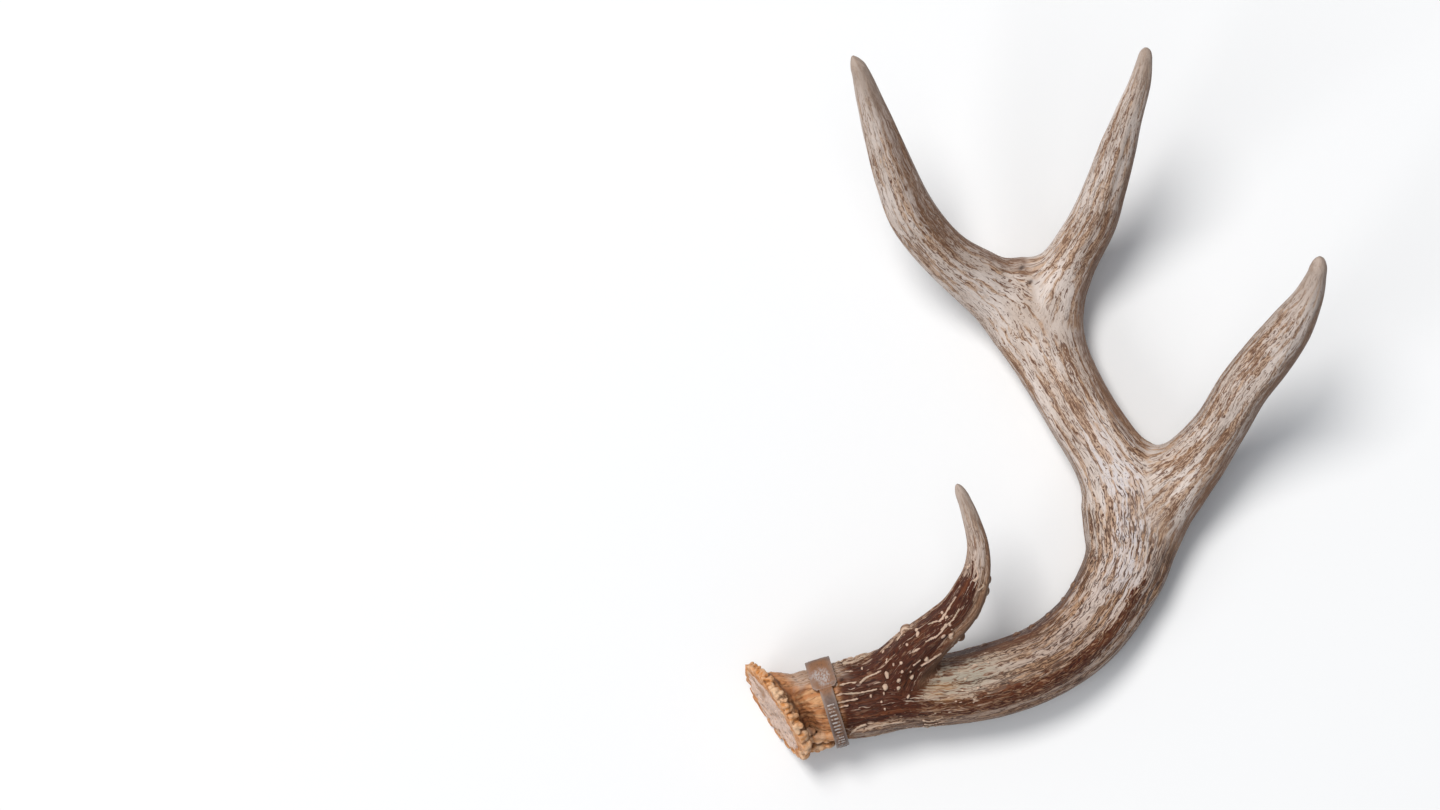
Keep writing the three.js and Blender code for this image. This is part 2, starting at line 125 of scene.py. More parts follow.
# the antler's limbs: x, y, z of the middle, half width, half depth
limbs = dict(
    beam=[
        (-111.4, -136.0, 24.9, 15.2, 16.0), (-99.6, -133.9, 26.2, 14.8, 15.8),
        (-88.3, -131.6, 25.6, 16.2, 16.8), (-77.0, -129.8, 24.8, 17.6, 17.8),
        (-63.5, -127.2, 24.4, 18.3, 18.4), (-50.5, -126.6, 24.0, 16.6, 17.6),
        (-31.9, -125.7, 24.0, 16.3, 16.6), (-9.9, -121.0, 24.5, 17.0, 16.0),
        (12.7, -111.8, 23.0, 16.9, 16.0), (30.3, -98.2, 20.0, 17.5, 16.5),
        (42.0, -82.2, 17.5, 18.2, 17.0), (48.9, -67.2, 17.5, 19.6, 17.5),
        (49.7, -51.2, 18.5, 21.2, 17.5), (47.6, -35.8, 20.0, 21.2, 17.0),
        (38.4, -19.4, 21.0, 16.5, 16.0), (26.5, -0.4, 20.0, 15.9, 15.0),
        (14.6, 21.8, 17.0, 16.6, 15.0), (4.0, 40.5, 17.5, 18.6, 14.5),
        (-6.1, 50.1, 21.0, 16.6, 14.0), (-17.8, 57.6, 27.5, 13.8, 13.0),
        (-34.5, 69.2, 41.0, 11.4, 11.5), (-49.3, 85.5, 56.0, 11.0, 10.5),
        (-58.2, 102.9, 71.0, 9.5, 9.2), (-65.3, 120.3, 86.0, 7.7, 7.7),
        (-71.1, 135.5, 99.0, 5.7, 5.6), (-75.1, 146.2, 108.0, 3.9, 3.9),
        (-78.9, 153.0, 113.0, 1.0, 1.0),
    ],
    second=[
        (53.4, -50.0, 19.0, 18.9, 15.0), (66.4, -35.0, 24.0, 17.1, 14.0),
        (78.7, -20.9, 33.0, 13.9, 13.0), (87.7, -6.9, 45.0, 11.6, 11.5),
        (95.6, 9.7, 62.0, 11.1, 11.0), (104.1, 23.0, 76.0, 10.9, 10.5),
        (112.0, 36.1, 93.0, 9.6, 9.3), (118.1, 49.4, 110.0, 6.4, 6.4),
        (120.2, 58.5, 120.0, 4.2, 4.2), (121.0, 65.7, 126.0, 1.0, 1.0),
    ],
    third=[
        (7.8, 35.4, 17.0, 15.6, 13.0), (15.6, 54.6, 21.0, 13.9, 12.5),
        (23.5, 69.8, 29.0, 11.4, 11.5), (30.5, 83.6, 42.0, 10.5, 10.5),
        (35.0, 98.5, 57.0, 9.3, 9.6), (38.7, 113.5, 74.0, 8.3, 8.6),
        (42.1, 127.7, 91.0, 6.4, 6.6), (45.9, 141.8, 106.0, 4.8, 4.9),
        (47.1, 151.1, 114.0, 3.3, 3.4), (47.5, 155.8, 117.0, 0.9, 0.9),
    ],
    brow=[
        (-57.0, -119.4, 28.0, 13.6, 14.0), (-47.8, -107.8, 40.0, 11.2, 12.2),
        (-36.9, -96.9, 50.0, 9.2, 10.2), (-29.7, -89.0, 56.0, 8.3, 9.0),
        (-25.0, -79.7, 62.0, 7.5, 7.8), (-22.3, -70.2, 67.0, 6.1, 6.5),
        (-22.2, -59.5, 72.0, 4.9, 5.2), (-25.0, -48.9, 76.0, 4.0, 4.2),
        (-28.3, -40.0, 79.0, 3.1, 3.2), (-32.2, -31.9, 81.0, 0.9, 0.9),
    ],
)
burr = dict(
    centre=(-111.6, -136.0, 24.9), normal=(-0.831, -0.518, 0.208),
    profile=[(0.0, 21.2), (0.8, 22.3), (2.2, 22.7), (3.7, 21.0), (5.2, 18.2), (7.4, 16.4), (9.4, 15.8)],
    straighten=30.0, lowSpread=1.2, seed=5,
    rows=[
        dict(count=23, radius=2.1, reach=23.4, depth=1.7, scatter=1.2),
        dict(count=31, radius=1.3, reach=23.3, depth=0.9, scatter=0.9),
        dict(count=35, radius=1.3, reach=22.6, depth=3.4, scatter=1.2),
    ],
    shelf=dict(count=54, start=7.0, length=20.0, middle=185, spread=36, radius=1.5),
    neckKnobs=[  # x, y, z, radius
        (-104.6, -152.0, 26.0, 2.6), (-98.2, -151.4, 26.0, 3.6), (-94.1, -150.6, 27.0, 3.4),
        (-90.4, -150.4, 26.0, 3.3), (-86.6, -149.6, 26.0, 2.9), (-101.6, -149.0, 31.0, 2.5),
        (-96.0, -147.4, 32.5, 2.4), (-91.9, -147.6, 32.0, 2.5), (-88.0, -147.4, 31.0, 2.5),
        (-99.4, -145.0, 35.0, 1.8), (-103.8, -146.0, 34.0, 2.0), (-94.7, -143.6, 36.6, 1.6),
    ],
)
bone = dict(
    fineEnd=9.5,  # the finer mesh ends at this station of the beam
    fineVoxel=0.475, voxel=0.62, quickVoxel=0.95, sides=48, ringStep=2.6,
    forkBlend=dict(second=15.0, third=18.0, brow=6.0),
    crotch=(1.2, 60.7, 25.8, 8.0),  # a ball that fills the third fork: x, y, z, radius
    relaxRounds=7, creaseRounds=dict(brow=26, upper=320), hollowRounds=5,
)


def unit(v):
    return v / np.maximum(np.linalg.norm(v, axis=-1, keepdims=True), 1e-9)


goldenShare = 0.618034
goldenTurn = 2.39996


def smoothStep(low, high, value):
    t = np.clip((value - low) / (high - low), 0, 1)
    return t * t * (3 - 2 * t)


def makeLine(stations, step=1.0, fine=20):
    rows = np.array(stations)
    ext = np.vstack([2 * rows[0] - rows[1], rows, 2 * rows[-1] - rows[-2]])
    t = np.linspace(0, 1, fine, endpoint=False)[:, None]
    found = []
    for i in range(len(rows) - 1):
        p0, p1, p2, p3 = ext[i:i + 4]
        d0, d1, d2 = (np.linalg.norm((q - p)[:3]) ** 0.5 for p, q in ((p0, p1), (p1, p2), (p2, p3)))
        m1 = ((p1 - p0) / d0 - (p2 - p0) / (d0 + d1) + (p2 - p1) / d1) * d1
        m2 = ((p2 - p1) / d1 - (p3 - p1) / (d1 + d2) + (p3 - p2) / d2) * d1
        m1[3:], m2[3:] = 0.4 * (p2 - p0)[3:], 0.4 * (p3 - p1)[3:]
        curve = p1 + m1 * t + (3 * (p2 - p1) - 2 * m1 - m2) * t ** 2 + (2 * (p1 - p2) + m1 + m2) * t ** 3
        found.append(np.hstack([curve, i + t]))
    dense = np.vstack(found + [[*rows[-1], len(rows) - 1.0]])
    length = np.r_[0, np.cumsum(np.linalg.norm(np.diff(dense[:, :3], axis=0), axis=1))]
    s = np.linspace(0, length[-1], int(length[-1] / step) + 1)
    even = np.array([np.interp(s, length, dense[:, k]) for k in range(6)]).T
    middle = even[:, :3] + partShift
    along = unit(np.gradient(middle, axis=0))
    side = unit(np.cross((0.0, 0.0, 1.0), along))
    return dict(
        s=s, middle=middle, along=along, side=side, up=np.cross(along, side),
        half=even[:, 3:5], station=even[:, 5], step=s[1], stations=len(rows) - 1,
    )


lines = {name: makeLine(stations) for name, stations in limbs.items()}


def atStation(line, station):
    return float(np.interp(station, line["station"], line["s"]))


def frameOf(line, s):
    found = []
    for key in ("middle", "along", "side", "up", "half"):
        found.append(np.stack([np.interp(s, line["s"], column) for column in line[key].T], -1))
    return found


def limbCoords(line, co):
    # nearest place on the limb's middle line, then the place in its cross-section
    near = np.empty(len(co), dtype=np.int64)
    middle = line["middle"].astype(np.float32)
    square = (middle ** 2).sum(1)
    for a in range(0, len(co), 20000):
        part = co[a:a + 20000].astype(np.float32)
        near[a:a + 20000] = np.argmin(square - 2 * part @ middle.T, axis=1)
    away = ((co - line["middle"][near]) * line["along"][near]).sum(1)
    place = np.clip(near + away / line["step"], 0, len(middle) - 1.001)
    low = place.astype(np.int64)
    w = (place - low)[:, None]
    mix = {key: line[key][low] * (1 - w) + line[key][low + 1] * w
           for key in ("middle", "side", "up", "half", "along")}
    gap = co - mix["middle"]
    x, y = (gap * mix["side"]).sum(1), (gap * mix["up"]).sum(1)
    past = np.abs((gap * mix["along"]).sum(1))
    a, b = mix["half"].T
    share = np.hypot(x / a, y / b)
    out = (share - 1) * np.hypot(x, y) / np.maximum(share, 0.01) + np.maximum(0, past - 1.5)
    way = unit(mix["side"] * (x / a ** 2)[:, None] + mix["up"] * (y / b ** 2)[:, None])
    station = line["station"][low] * (1 - w[:, 0]) + line["station"][low + 1] * w[:, 0]
    return dict(
        out=out, way=way, s=place * line["step"], station=station, turn=np.arctan2(y / b, x / a),
        half=a, along=mix["along"], begun=smoothStep(1.0, 6.0, place * line["step"]),
    )


# seeded noise in numpy
def softNoise(p, seed):
    cell = np.floor(p).astype(np.int64)
    f = p - cell
    w = f ** 3 * (f * (f * 6 - 15) + 10)
    total = np.zeros(len(p))
    for corner in range(8):
        d = np.array([corner & 1, corner >> 1 & 1, corner >> 2 & 1])
        q = cell + d
        h = (q[:, 0] * 73856093 ^ q[:, 1] * 19349663 ^ q[:, 2] * 83492791 ^ seed * 26544357) & 0x7FFFFFFF
        h = (h ^ h >> 13) * 1274126177 & 0x7FFFFFFF
        h = (h ^ h >> 15) * 69069 & 0x7FFFFFFF
        angle = (h >> 4 & 1023) * (math.tau / 1024)
        tilt = (h >> 14 & 1023) / 511.5 - 1
        flat = np.sqrt(1 - tilt ** 2)
        slope = ((f - d) * np.stack([flat * np.cos(angle), flat * np.sin(angle), tilt], -1)).sum(1)
        weight = np.prod(np.where(d == 1, w, 1 - w), axis=1)
        total += slope * weight
    return total * 1.6


# the plain form of the bone
def bendTube(rings, sides):
    # a capped cylinder whose rings are moved onto the limb's cross-sections
    bm = bmesh.new()
    bmesh.ops.create_cone(
        bm, cap_ends=True, cap_tris=False, segments=sides, radius1=1, radius2=1, depth=1)
    upright = [e for e in bm.edges if abs(e.verts[0].co.z - e.verts[1].co.z) > 0.5]
    bmesh.ops.subdivide_edges(bm, edges=upright, cuts=len(rings) - 2, use_grid_fill=True)
    for v in bm.verts:
        ring = rings[round((v.co.z + 0.5) * (len(rings) - 1))]
        across, over = ring["side"] * ring["a"] * v.co.x, ring["up"] * ring["b"] * v.co.y
        v.co = Vector(ring["middle"] + across + over)
    mesh = bpy.data.meshes.new("tube")
    bm.to_mesh(mesh)
    bm.free()
    return mesh


def limbRings(line, start=0.0, end=None):
    blunt = line is not lines["beam"]
    last = atStation(line, line["stations"] - 1 if end is None else end)
    rings = []
    for s in np.linspace(start, last, max(2, int((last - start) / bone["ringStep"]))):
        middle, along, side, up, half = frameOf(line, s)
        rings.append(dict(middle=middle, along=along, side=side, up=up, a=half[0], b=half[1], s=s))
    if end is not None:
        return rings
    lastHalf = frameOf(line, last)[4]
    for k in range(1, 9):
        turn = k / 8.3 * math.pi / 2
        reach = math.sin(turn) / math.sin(8 / 8.3 * math.pi / 2)
        middle, along, side, up, half = frameOf(line, last + (line["s"][-1] - last) * reach)
        slim = math.cos(turn) if blunt else (1 - reach ** 1.6) ** 0.8 + 0.02
        rings.append(dict(middle=middle, along=along, side=side, up=up,
                          a=lastHalf[0] * slim, b=lastHalf[1] * slim, s=last))
    return rings


def tilted(normal):
    side = unit(np.array([-normal[1], normal[0], 0.0]))
    return side, np.cross(normal, side)


seatCentre = np.array(burr["centre"]) + partShift
seatNormal = unit(np.array(burr["normal"]))


def beamRings(end):
    side, up = tilted(-seatNormal)
    rings = [dict(middle=seatCentre - seatNormal * depth, side=side, up=up, a=radius, b=radius * 0.99)
             for depth, radius in burr["profile"]]
    for ring in limbRings(lines["beam"], atStation(lines["beam"], 1.25), end):
        turned = float(smoothStep(8, burr["straighten"], ring["s"]))
        normal = unit(-seatNormal * (1 - turned) + ring["along"] * turned)
        side, up = tilted(normal)
        slant = 1 / max(0.8, abs(side @ ring["side"]))
        rings.append(dict(ring, side=side, up=up, a=ring["a"] * slant))
    return rings


def addKnob(bm, spot, way, radius, stretch):
    made = bmesh.ops.create_icosphere(bm, subdivisions=2, radius=radius)
    for v in made["verts"]:
        v.co += Vector(way) * (v.co @ Vector(way)) * (stretch - 1) + Vector(spot)


def burrKnobs(bm):
    # round lumps sunk into the rim, then fused with it
    chance = np.random.default_rng(burr["seed"])
    side, up = tilted(-seatNormal)
    for row in burr["rows"]:
        for i in range(row["count"]):
            turn = math.tau * (i + 0.7 * chance.random()) / row["count"]
            low = max(0.0, -math.cos(turn - 0.2))
            radius = row["radius"] * (0.7 + 0.6 * chance.random())
            reach = row["reach"] + burr["lowSpread"] * low + 2.2 * chance.random() - 0.5 - 0.6 * radius
            depth = row["depth"] + (chance.random() - 0.5) * row["scatter"]
            spot = seatCentre - seatNormal * depth + (side * math.cos(turn) + up * math.sin(turn)) * reach
            addKnob(bm, spot, seatNormal, radius, 1 + 0.5 * chance.random())
    # a shelf of knobs along the neck's outer edge
    shelf = burr["shelf"]
    for i in range(shelf["count"]):
        s = shelf["start"] + shelf["length"] * ((i * goldenShare) % 1)
        turn = math.radians(shelf["middle"] + shelf["spread"] * (2 * chance.random() - 1))
        middle, along, side, up, half = frameOf(lines["beam"], s)
        radius = shelf["radius"] * (0.75 + 0.75 * chance.random())
        reach = 1 + (0.9 * chance.random() - 0.1 + 1.2 * math.exp(-(s - 7) / 6)) / half[0]
        spot = middle + side * math.cos(turn) * half[0] * reach + up * math.sin(turn) * half[1] * reach
        addKnob(bm, spot, along, radius, 1.25)
    for x, y, z, radius in burr["neckKnobs"]:
        for k in range(6):
            aside = (chance.random(3) - 0.5) * radius * (1.6 if k else 0)
            spot = np.array((x, y, z)) + partShift + aside
            addKnob(bm, spot, along, radius * (0.46 if k else 0.98), 1.1)


def plainBone(names, voxel, end=None):
    bm = bmesh.new()
    for rings in [beamRings(end)] + [limbRings(lines[name]) for name in names]:
        tube = bendTube(rings, bone["sides"])
        bm.from_mesh(tube)
        bpy.data.meshes.remove(tube)
    burrKnobs(bm)
    if "third" in names:
        x, y, z, radius = bone["crotch"]
        addKnob(bm, np.array((x, y, z)) + partShift, (1, 0, 0), radius, 1.3)
    bmesh.ops.recalc_face_normals(bm, faces=bm.faces)
    bmesh.ops.scale(bm, vec=(mm, mm, mm), verts=bm.verts)
    mesh = bpy.data.meshes.new("plainBone")
    bm.to_mesh(mesh)
    bm.free()
    rough = bpy.data.objects.new("plainBone", mesh)
    scene.collection.objects.link(rough)
    remesh = rough.modifiers.new("remesh", "REMESH")
    remesh.mode = "VOXEL"
    remesh.voxel_size = voxel * mm
    done = bpy.data.meshes.new_from_object(rough.evaluated_get(bpy.context.evaluated_depsgraph_get()))
    bpy.data.objects.remove(rough)
    return done


def relax(co, pairs, times, weight=None):
    count = np.bincount(pairs.ravel(), minlength=len(co))[:, None]
    for _ in range(times):
        total = np.stack([
            np.bincount(pairs[:, 0], co[pairs[:, 1], k], len(co)) +
            np.bincount(pairs[:, 1], co[pairs[:, 0], k], len(co)) for k in range(3)], -1)
        moved = total / np.maximum(count, 1)
        co = co + (moved - co) * (0.5 if weight is None else 0.5 * weight[:, None])
    return co


def vertexNormals(mesh, co):
    mesh.vertices.foreach_set("co", (co * mm).astype(np.float32).ravel())
    mesh.update()
    flat = np.empty(len(co) * 3, dtype=np.float32)
    mesh.vertex_normals.foreach_get("vector", flat)
    return flat.reshape(-1, 3).astype(float)


# rounding, furrows and pearls
relief = dict(
    gutters=dict(beam=(1.5, 0.7), second=(0.9, 2.0), third=(0.9, 4.0), brow=(1.0, 5.0)),
    offsets=dict(beam=(0, 0, 0), second=(60, 10, 300), third=(20, 80, 700), brow=(90, 40, 1100)),
    wideFurrow=dict(cell=2.7, long=46.0, depth=0.36),
    thinFurrow=dict(cell=1.6, long=20.0, depth=0.15),
    swell=dict(cell=7.5, long=24.0, height=0.3),
    seed=21,
)
# raised lines and pearls on the upper side of the stem and the brow tine: places seen from above
stemRidges = [
    dict(path=[(-83.6, -126.4), (-81.0, -125.6), (-73.6, -125.3), (-65.8, -123.6)], width=0.6, tall=0.62),
    dict(path=[(-83.0, -129.7), (-79.2, -128.8), (-74.3, -127.9)], width=0.62, tall=0.6),
    dict(path=[(-82.5, -131.8), (-78.5, -130.8)], width=0.48, tall=0.45),
    dict(path=[(-72.9, -120.5), (-70.6, -118.8), (-67.3, -117.3), (-64.0, -115.5)], width=0.5, tall=0.55),
    dict(path=[(-82.1, -122.0), (-78.1, -120.9), (-74.7, -120.5)], width=0.45, tall=0.42),
    dict(path=[(-79.5, -116.0), (-76.2, -115.9)], width=0.36, tall=0.3),
    dict(path=[(-38.6, -92.4), (-36.1, -89.1), (-33.8, -85.0), (-31.6, -81.3)], width=0.48, tall=0.45),
    dict(path=[(-43.4, -93.8), (-39.7, -92.4)], width=0.45, tall=0.42),
    dict(path=[(-37.9, -96.0), (-32.7, -91.3), (-30.2, -86.5)], width=0.45, tall=0.42),
    dict(path=[(-50.0, -106.4), (-47.1, -104.5)], width=0.45, tall=0.42),
    dict(path=[(-44.5, -101.6), (-39.3, -98.6), (-35.6, -94.4)], width=0.5, tall=0.5),
    dict(path=[(-49.6, -112.2), (-46.7, -110.0)], width=0.6, tall=0.6),
    dict(path=[(-46.0, -112.6), (-42.7, -110.4), (-37.9, -106.7)], width=0.6, tall=0.6),
    dict(path=[(-77.2, -143.4), (-74.1, -140.7), (-70.5, -139.4)], width=0.6, tall=0.6),
    dict(path=[(-70.5, -141.2), (-62.0, -139.4), (-53.1, -138.5)], width=0.5, tall=0.4),
]
stemPearls = [  # x, y, radius, stretch
    (-61.0, -117.0, 1.35, 1.5), (-62.0, -122.5, 1.35, 1.4), (-56.0, -119.3, 1.15, 1.3),
    (-55.9, -122.9, 1.0, 1.6), (-44.0, -109.6, 1.25, 1.3), (-50.2, -118.2, 1.05, 1.6),
    (-54.6, -115.3, 0.8, 1.3), (-58.3, -112.3, 0.6, 1.6), (-52.5, -103.2, 0.9, 1.2),
    (-47.7, -98.1, 1.1, 1.4), (-68.4, -126.6, 0.8, 1.2), (-62.5, -125.6, 0.6, 1.6),
    (-63.6, -129.2, 0.8, 1.2), (-51.6, -126.9, 0.9, 1.4), (-72.1, -114.6, 0.7, 1.5),
    (-62.1, -132.3, 0.6, 1.6), (-48.4, -96.6, 0.7, 1.6), (-55.1, -111.4, 0.7, 1.4),
    (-50.9, -115.3, 0.7, 1.2), (-83.8, -121.8, 0.8, 1.3), (-72.9, -120.7, 0.9, 1.2),
]
edgeKnobs = [  # limb, station, degrees, radius, height: 0 degrees is the inner side, 90 the upper one
    ("brow", 2.15, 196, 2.0, 2.0), ("brow", 4.2, 184, 1.5, 0.9), ("brow", 4.7, 178, 1.3, 0.7),
    ("brow", 1.3, 10, 2.1, 1.7), ("beam", 3.6, 10, 2.6, 1.2), ("beam", 3.05, 8, 1.8, 1.0),
    ("beam", 5.0, 6, 2.0, 0.9), ("beam", 7.6, 12, 1.9, 1.4), ("beam", 8.0, 8, 2.1, 1.5),
    ("beam", 8.5, 6, 2.0, 1.4), ("beam", 9.1, 3, 1.8, 1.2), ("beam", 9.6, 5, 2.4, 1.2),
    ("beam", 6.9, 10, 1.6, 1.0), ("beam", 5.4, 176, 1.7, 1.0),
]
# painted shade: the pits below are only a shallow bump dip, so their dark inside is painted
forkPits = [(-0.4, 64.8), (3.2, 58.1)]  # two small dark pits between the third tine and the beam's end
armpitMiddle = np.array([-29.5, -119.3])  # the pale hollow beside the brow tine
upperFrom = 15.0  # marks on the upper side lie above this height
stains = [(-34.8, -126.1, 8.0, 4.5), (63.9, -16.6, 7.0, 4.0)]  # ochre patches: x, y, width, height
tines = ("second", "third", "brow")


def liftForks(co, coords):
    # fills the creases between the beam and its tines with a soft web
    crease = np.zeros(len(co))
    moved = co.copy()
    for name in tines:
        if name not in coords:
            continue
        first, other = coords["beam"], coords[name]
        blend = bone["forkBlend"][name]
        near = np.clip(blend - np.abs(first["out"] - other["out"]), 0, None) / blend
        lift = near ** 2 * blend * 0.27
        share = np.where(first["out"] < other["out"], 0.5 * near, 1 - 0.5 * near)[:, None]
        way = first["way"] * (1 - share) + other["way"] * share
        length = np.linalg.norm(way, axis=1)
        close = np.linalg.norm(co - lines[name]["middle"][0], axis=1) < 75
        use = (lift > 0.02) & (length > 0.3) & close
        moved[use] += way[use] / length[use, None] * lift[use, None]
        crease = np.maximum(crease, np.where(use, near, 0))
    return moved, crease


def gutters(name, c):
    strength, turn = relief["gutters"][name]
    s, way = c["s"], c["turn"]
    calm = np.minimum(1, c["half"] / 7) ** 2
    if name == "beam":
        calm = calm * (1 - 0.8 * np.exp(-((s - 21) / 7) ** 2)) * smoothStep(2, 12, s)
    fade = strength * (0.35 + 0.65 * np.exp(-s / 160)) * calm
    return fade * (
        0.34 * np.cos(5 * way + turn + s * 0.012) + 0.26 * np.cos(8 * way - 1.3 * turn - s * 0.017)
        + 0.18 * np.cos(11 * way + 2.1 * turn + 1.5 * np.sin(s * 0.05))
        + 0.3 * np.sin(s * 0.062 + turn + np.cos(way)))


def grainSpace(name, c):
    spread = 10 * (np.maximum(c["half"], 1) / 10) ** 0.6
    flat = np.stack([np.cos(c["turn"]) * spread, np.sin(c["turn"]) * spread, c["s"]], -1)
    return flat + np.array(relief["offsets"][name], float)


def furrows(name, c, grain):
    total, sunk = np.zeros(len(grain)), np.zeros(len(grain))
    age = 0.2 * np.exp(-c["s"] / 70) + 0.08
    if name == "beam":
        age = 0.1 + 0.9 * np.exp(-c["s"] / 150)
    if name == "brow":
        age = np.maximum(age, 0.95 * np.exp(-c["s"] / 40))
    for row, seed in ((relief["wideFurrow"], 0), (relief["thinFurrow"], 7)):
        scale = np.array([row["cell"], row["cell"], row["long"]])
        value = softNoise(grain / scale, relief["seed"] + seed)
        cut = smoothStep(0.08, 0.5, value)
        shifted = grain / scale * (1, 1, 1.7) + 9.3
        broken = smoothStep(-0.5, 0.1, softNoise(shifted, relief["seed"] + seed + 1))
        total -= age * row["depth"] * cut * broken
        sunk = np.maximum(sunk, cut * broken * (1 if seed == 0 else 0.75))
    row = relief["swell"]
    total += age * row["height"] * softNoise(grain / (row["cell"], row["cell"], row["long"]), 5)
    return total, sunk


def wrapped(turn):
    return (turn + math.pi) % math.tau - math.pi


def raiseLumps(c, rows):
    tall, top = np.zeros(len(c["s"])), np.zeros(len(c["s"]))
    for s, turn, radius, stretch, height in rows:
        near = np.flatnonzero(np.abs(c["s"] - s) < radius * stretch)
        across = wrapped(c["turn"][near] - turn) * c["half"][near]
        q = np.clip(1 - (across / radius) ** 2 - ((c["s"][near] - s) / (radius * stretch)) ** 2, 0, 1)
        tall[near] = np.maximum(tall[near], height * q ** 0.6)
        top[near] = np.maximum(top[near], np.minimum(1, 1.6 * q))
    return tall, top


def raiseLines(c, rows):
    # long thin raised lines that start in a thicker head and wander a little
    tall, top = np.zeros(len(c["s"])), np.zeros(len(c["s"]))
    for s, turn, length, width, height, sway, phase in rows:
        near = np.flatnonzero(np.abs(c["s"] - s - length / 2) < length / 2 + 2 * width)
        part = np.clip((c["s"][near] - s) / length, 0, 1)
        across = wrapped(c["turn"][near] - turn) * c["half"][near] - sway * np.sin(phase + 5 * part)
        past = np.maximum(0, np.maximum(s - c["s"][near], c["s"][near] - s - length))
        wide = width * (1 - 0.5 * part + 0.7 * np.exp(-(part * length / 1.5) ** 2))
        q = np.clip(1 - (across / wide) ** 2 - (past / width) ** 2, 0, 1)
        tall[near] = np.maximum(tall[near], height * (1 - 0.4 * part) * q ** 0.6)
        top[near] = np.maximum(top[near], np.minimum(1, 1.6 * q))
    return tall, top


def layOnTop(co, up):
    # the listed ridges and pearls, measured in plan
    tall, top = np.zeros(len(co)), np.zeros(len(co))
    sway = 0.4 * softNoise(co / 1.9, 31)
    for row in stemRidges:
        path = np.array(row["path"])
        low, high = path.min(0) - 2, path.max(0) + 2
        near = np.flatnonzero(up & np.all((co[:, :2] > low) & (co[:, :2] < high), axis=1))
        gap = np.full(len(near), 9.0)
        for a, b in zip(path[:-1], path[1:]):
            t = np.clip(((co[near, :2] - a) @ (b - a)) / ((b - a) @ (b - a)), 0, 1)
            gap = np.minimum(gap, np.linalg.norm(co[near, :2] - a - t[:, None] * (b - a), axis=1))
        wide = row["width"] * (0.72 + 0.9 * np.abs(sway[near]))
        q = np.clip(1 - ((gap + sway[near] * 0.7) / wide) ** 2, 0, 1)
        tall[near] = np.maximum(tall[near], row["tall"] * q ** 0.6)
        top[near] = np.maximum(top[near], np.minimum(1, 1.6 * q))
    for x, y, radius, stretch in stemPearls:
        radius = 0.84 * radius
        near = np.flatnonzero(up & (np.abs(co[:, 0] - x) < 3) & (np.abs(co[:, 1] - y) < 3))
        gap = (co[near, :2] - (x, y)) * (1 + 1.3 * sway[near, None])
        lean = unit(np.array([0.5, 1.0]) if x > -57 else np.array([-0.1, 1.0]))
        long, wide = gap @ lean, gap @ np.array([-lean[1], lean[0]])
        q = np.clip(1 - (long / (radius * stretch)) ** 2 - (wide / radius) ** 2, 0, 1)
        tall[near] = np.maximum(tall[near], 1.0 * radius * q ** 0.55)
        top[near] = np.maximum(top[near], np.minimum(1, 1.8 * q))
    return tall, top


def scatteredRows(name, chance, kind, count, stations, avoidTop):
    line = lines[name]
    rows = []
    for i in range(count):
        share = (i * goldenShare + 0.15 * chance.random()) % 1
        station = stations[0] + (stations[1] - stations[0]) * share
        turn = (i * goldenTurn + 0.6 * chance.random()) % math.tau
        if avoidTop and 0.4 < turn < 2.7 and chance.random() < (0.6 if kind == "pearls" else 0.85):
            continue
        s = atStation(line, station)
        fade = 1 - 0.6 * (station - stations[0]) / (stations[1] - stations[0])
        if kind == "pearls":
            radius = 0.34 + 0.7 * chance.random() ** 2.5
            rows.append((s, turn, radius, 1.1 + 1.2 * chance.random(), radius * 0.75))
        else:
            rows.append((s, turn, (4 + 13 * chance.random()) * fade, 0.38 + 0.3 * chance.random(),
                         0.45 * fade + 0.12, 0.3 + 0.7 * chance.random(), chance.random() * 6))
    return rows


def nearestTine(coords, count):
    # for every vertex the tine it is closest to, and how far it belongs to that tine
    names = [name for name in tines if name in coords]
    outs = np.array([coords[name]["out"] for name in names])
    pick = outs.argmin(0)
    best = outs[pick, np.arange(count)]
    share = smoothStep(-2.5, 2.5, coords["beam"]["out"] - best + 0.8)
    chosen = {}
    for key in ("s", "station", "turn", "half"):
        chosen[key] = np.array([coords[name][key] for name in names])[pick, np.arange(count)]
    share = share * smoothStep(0.5, 9.0, chosen["s"])
    return names, pick, chosen, share


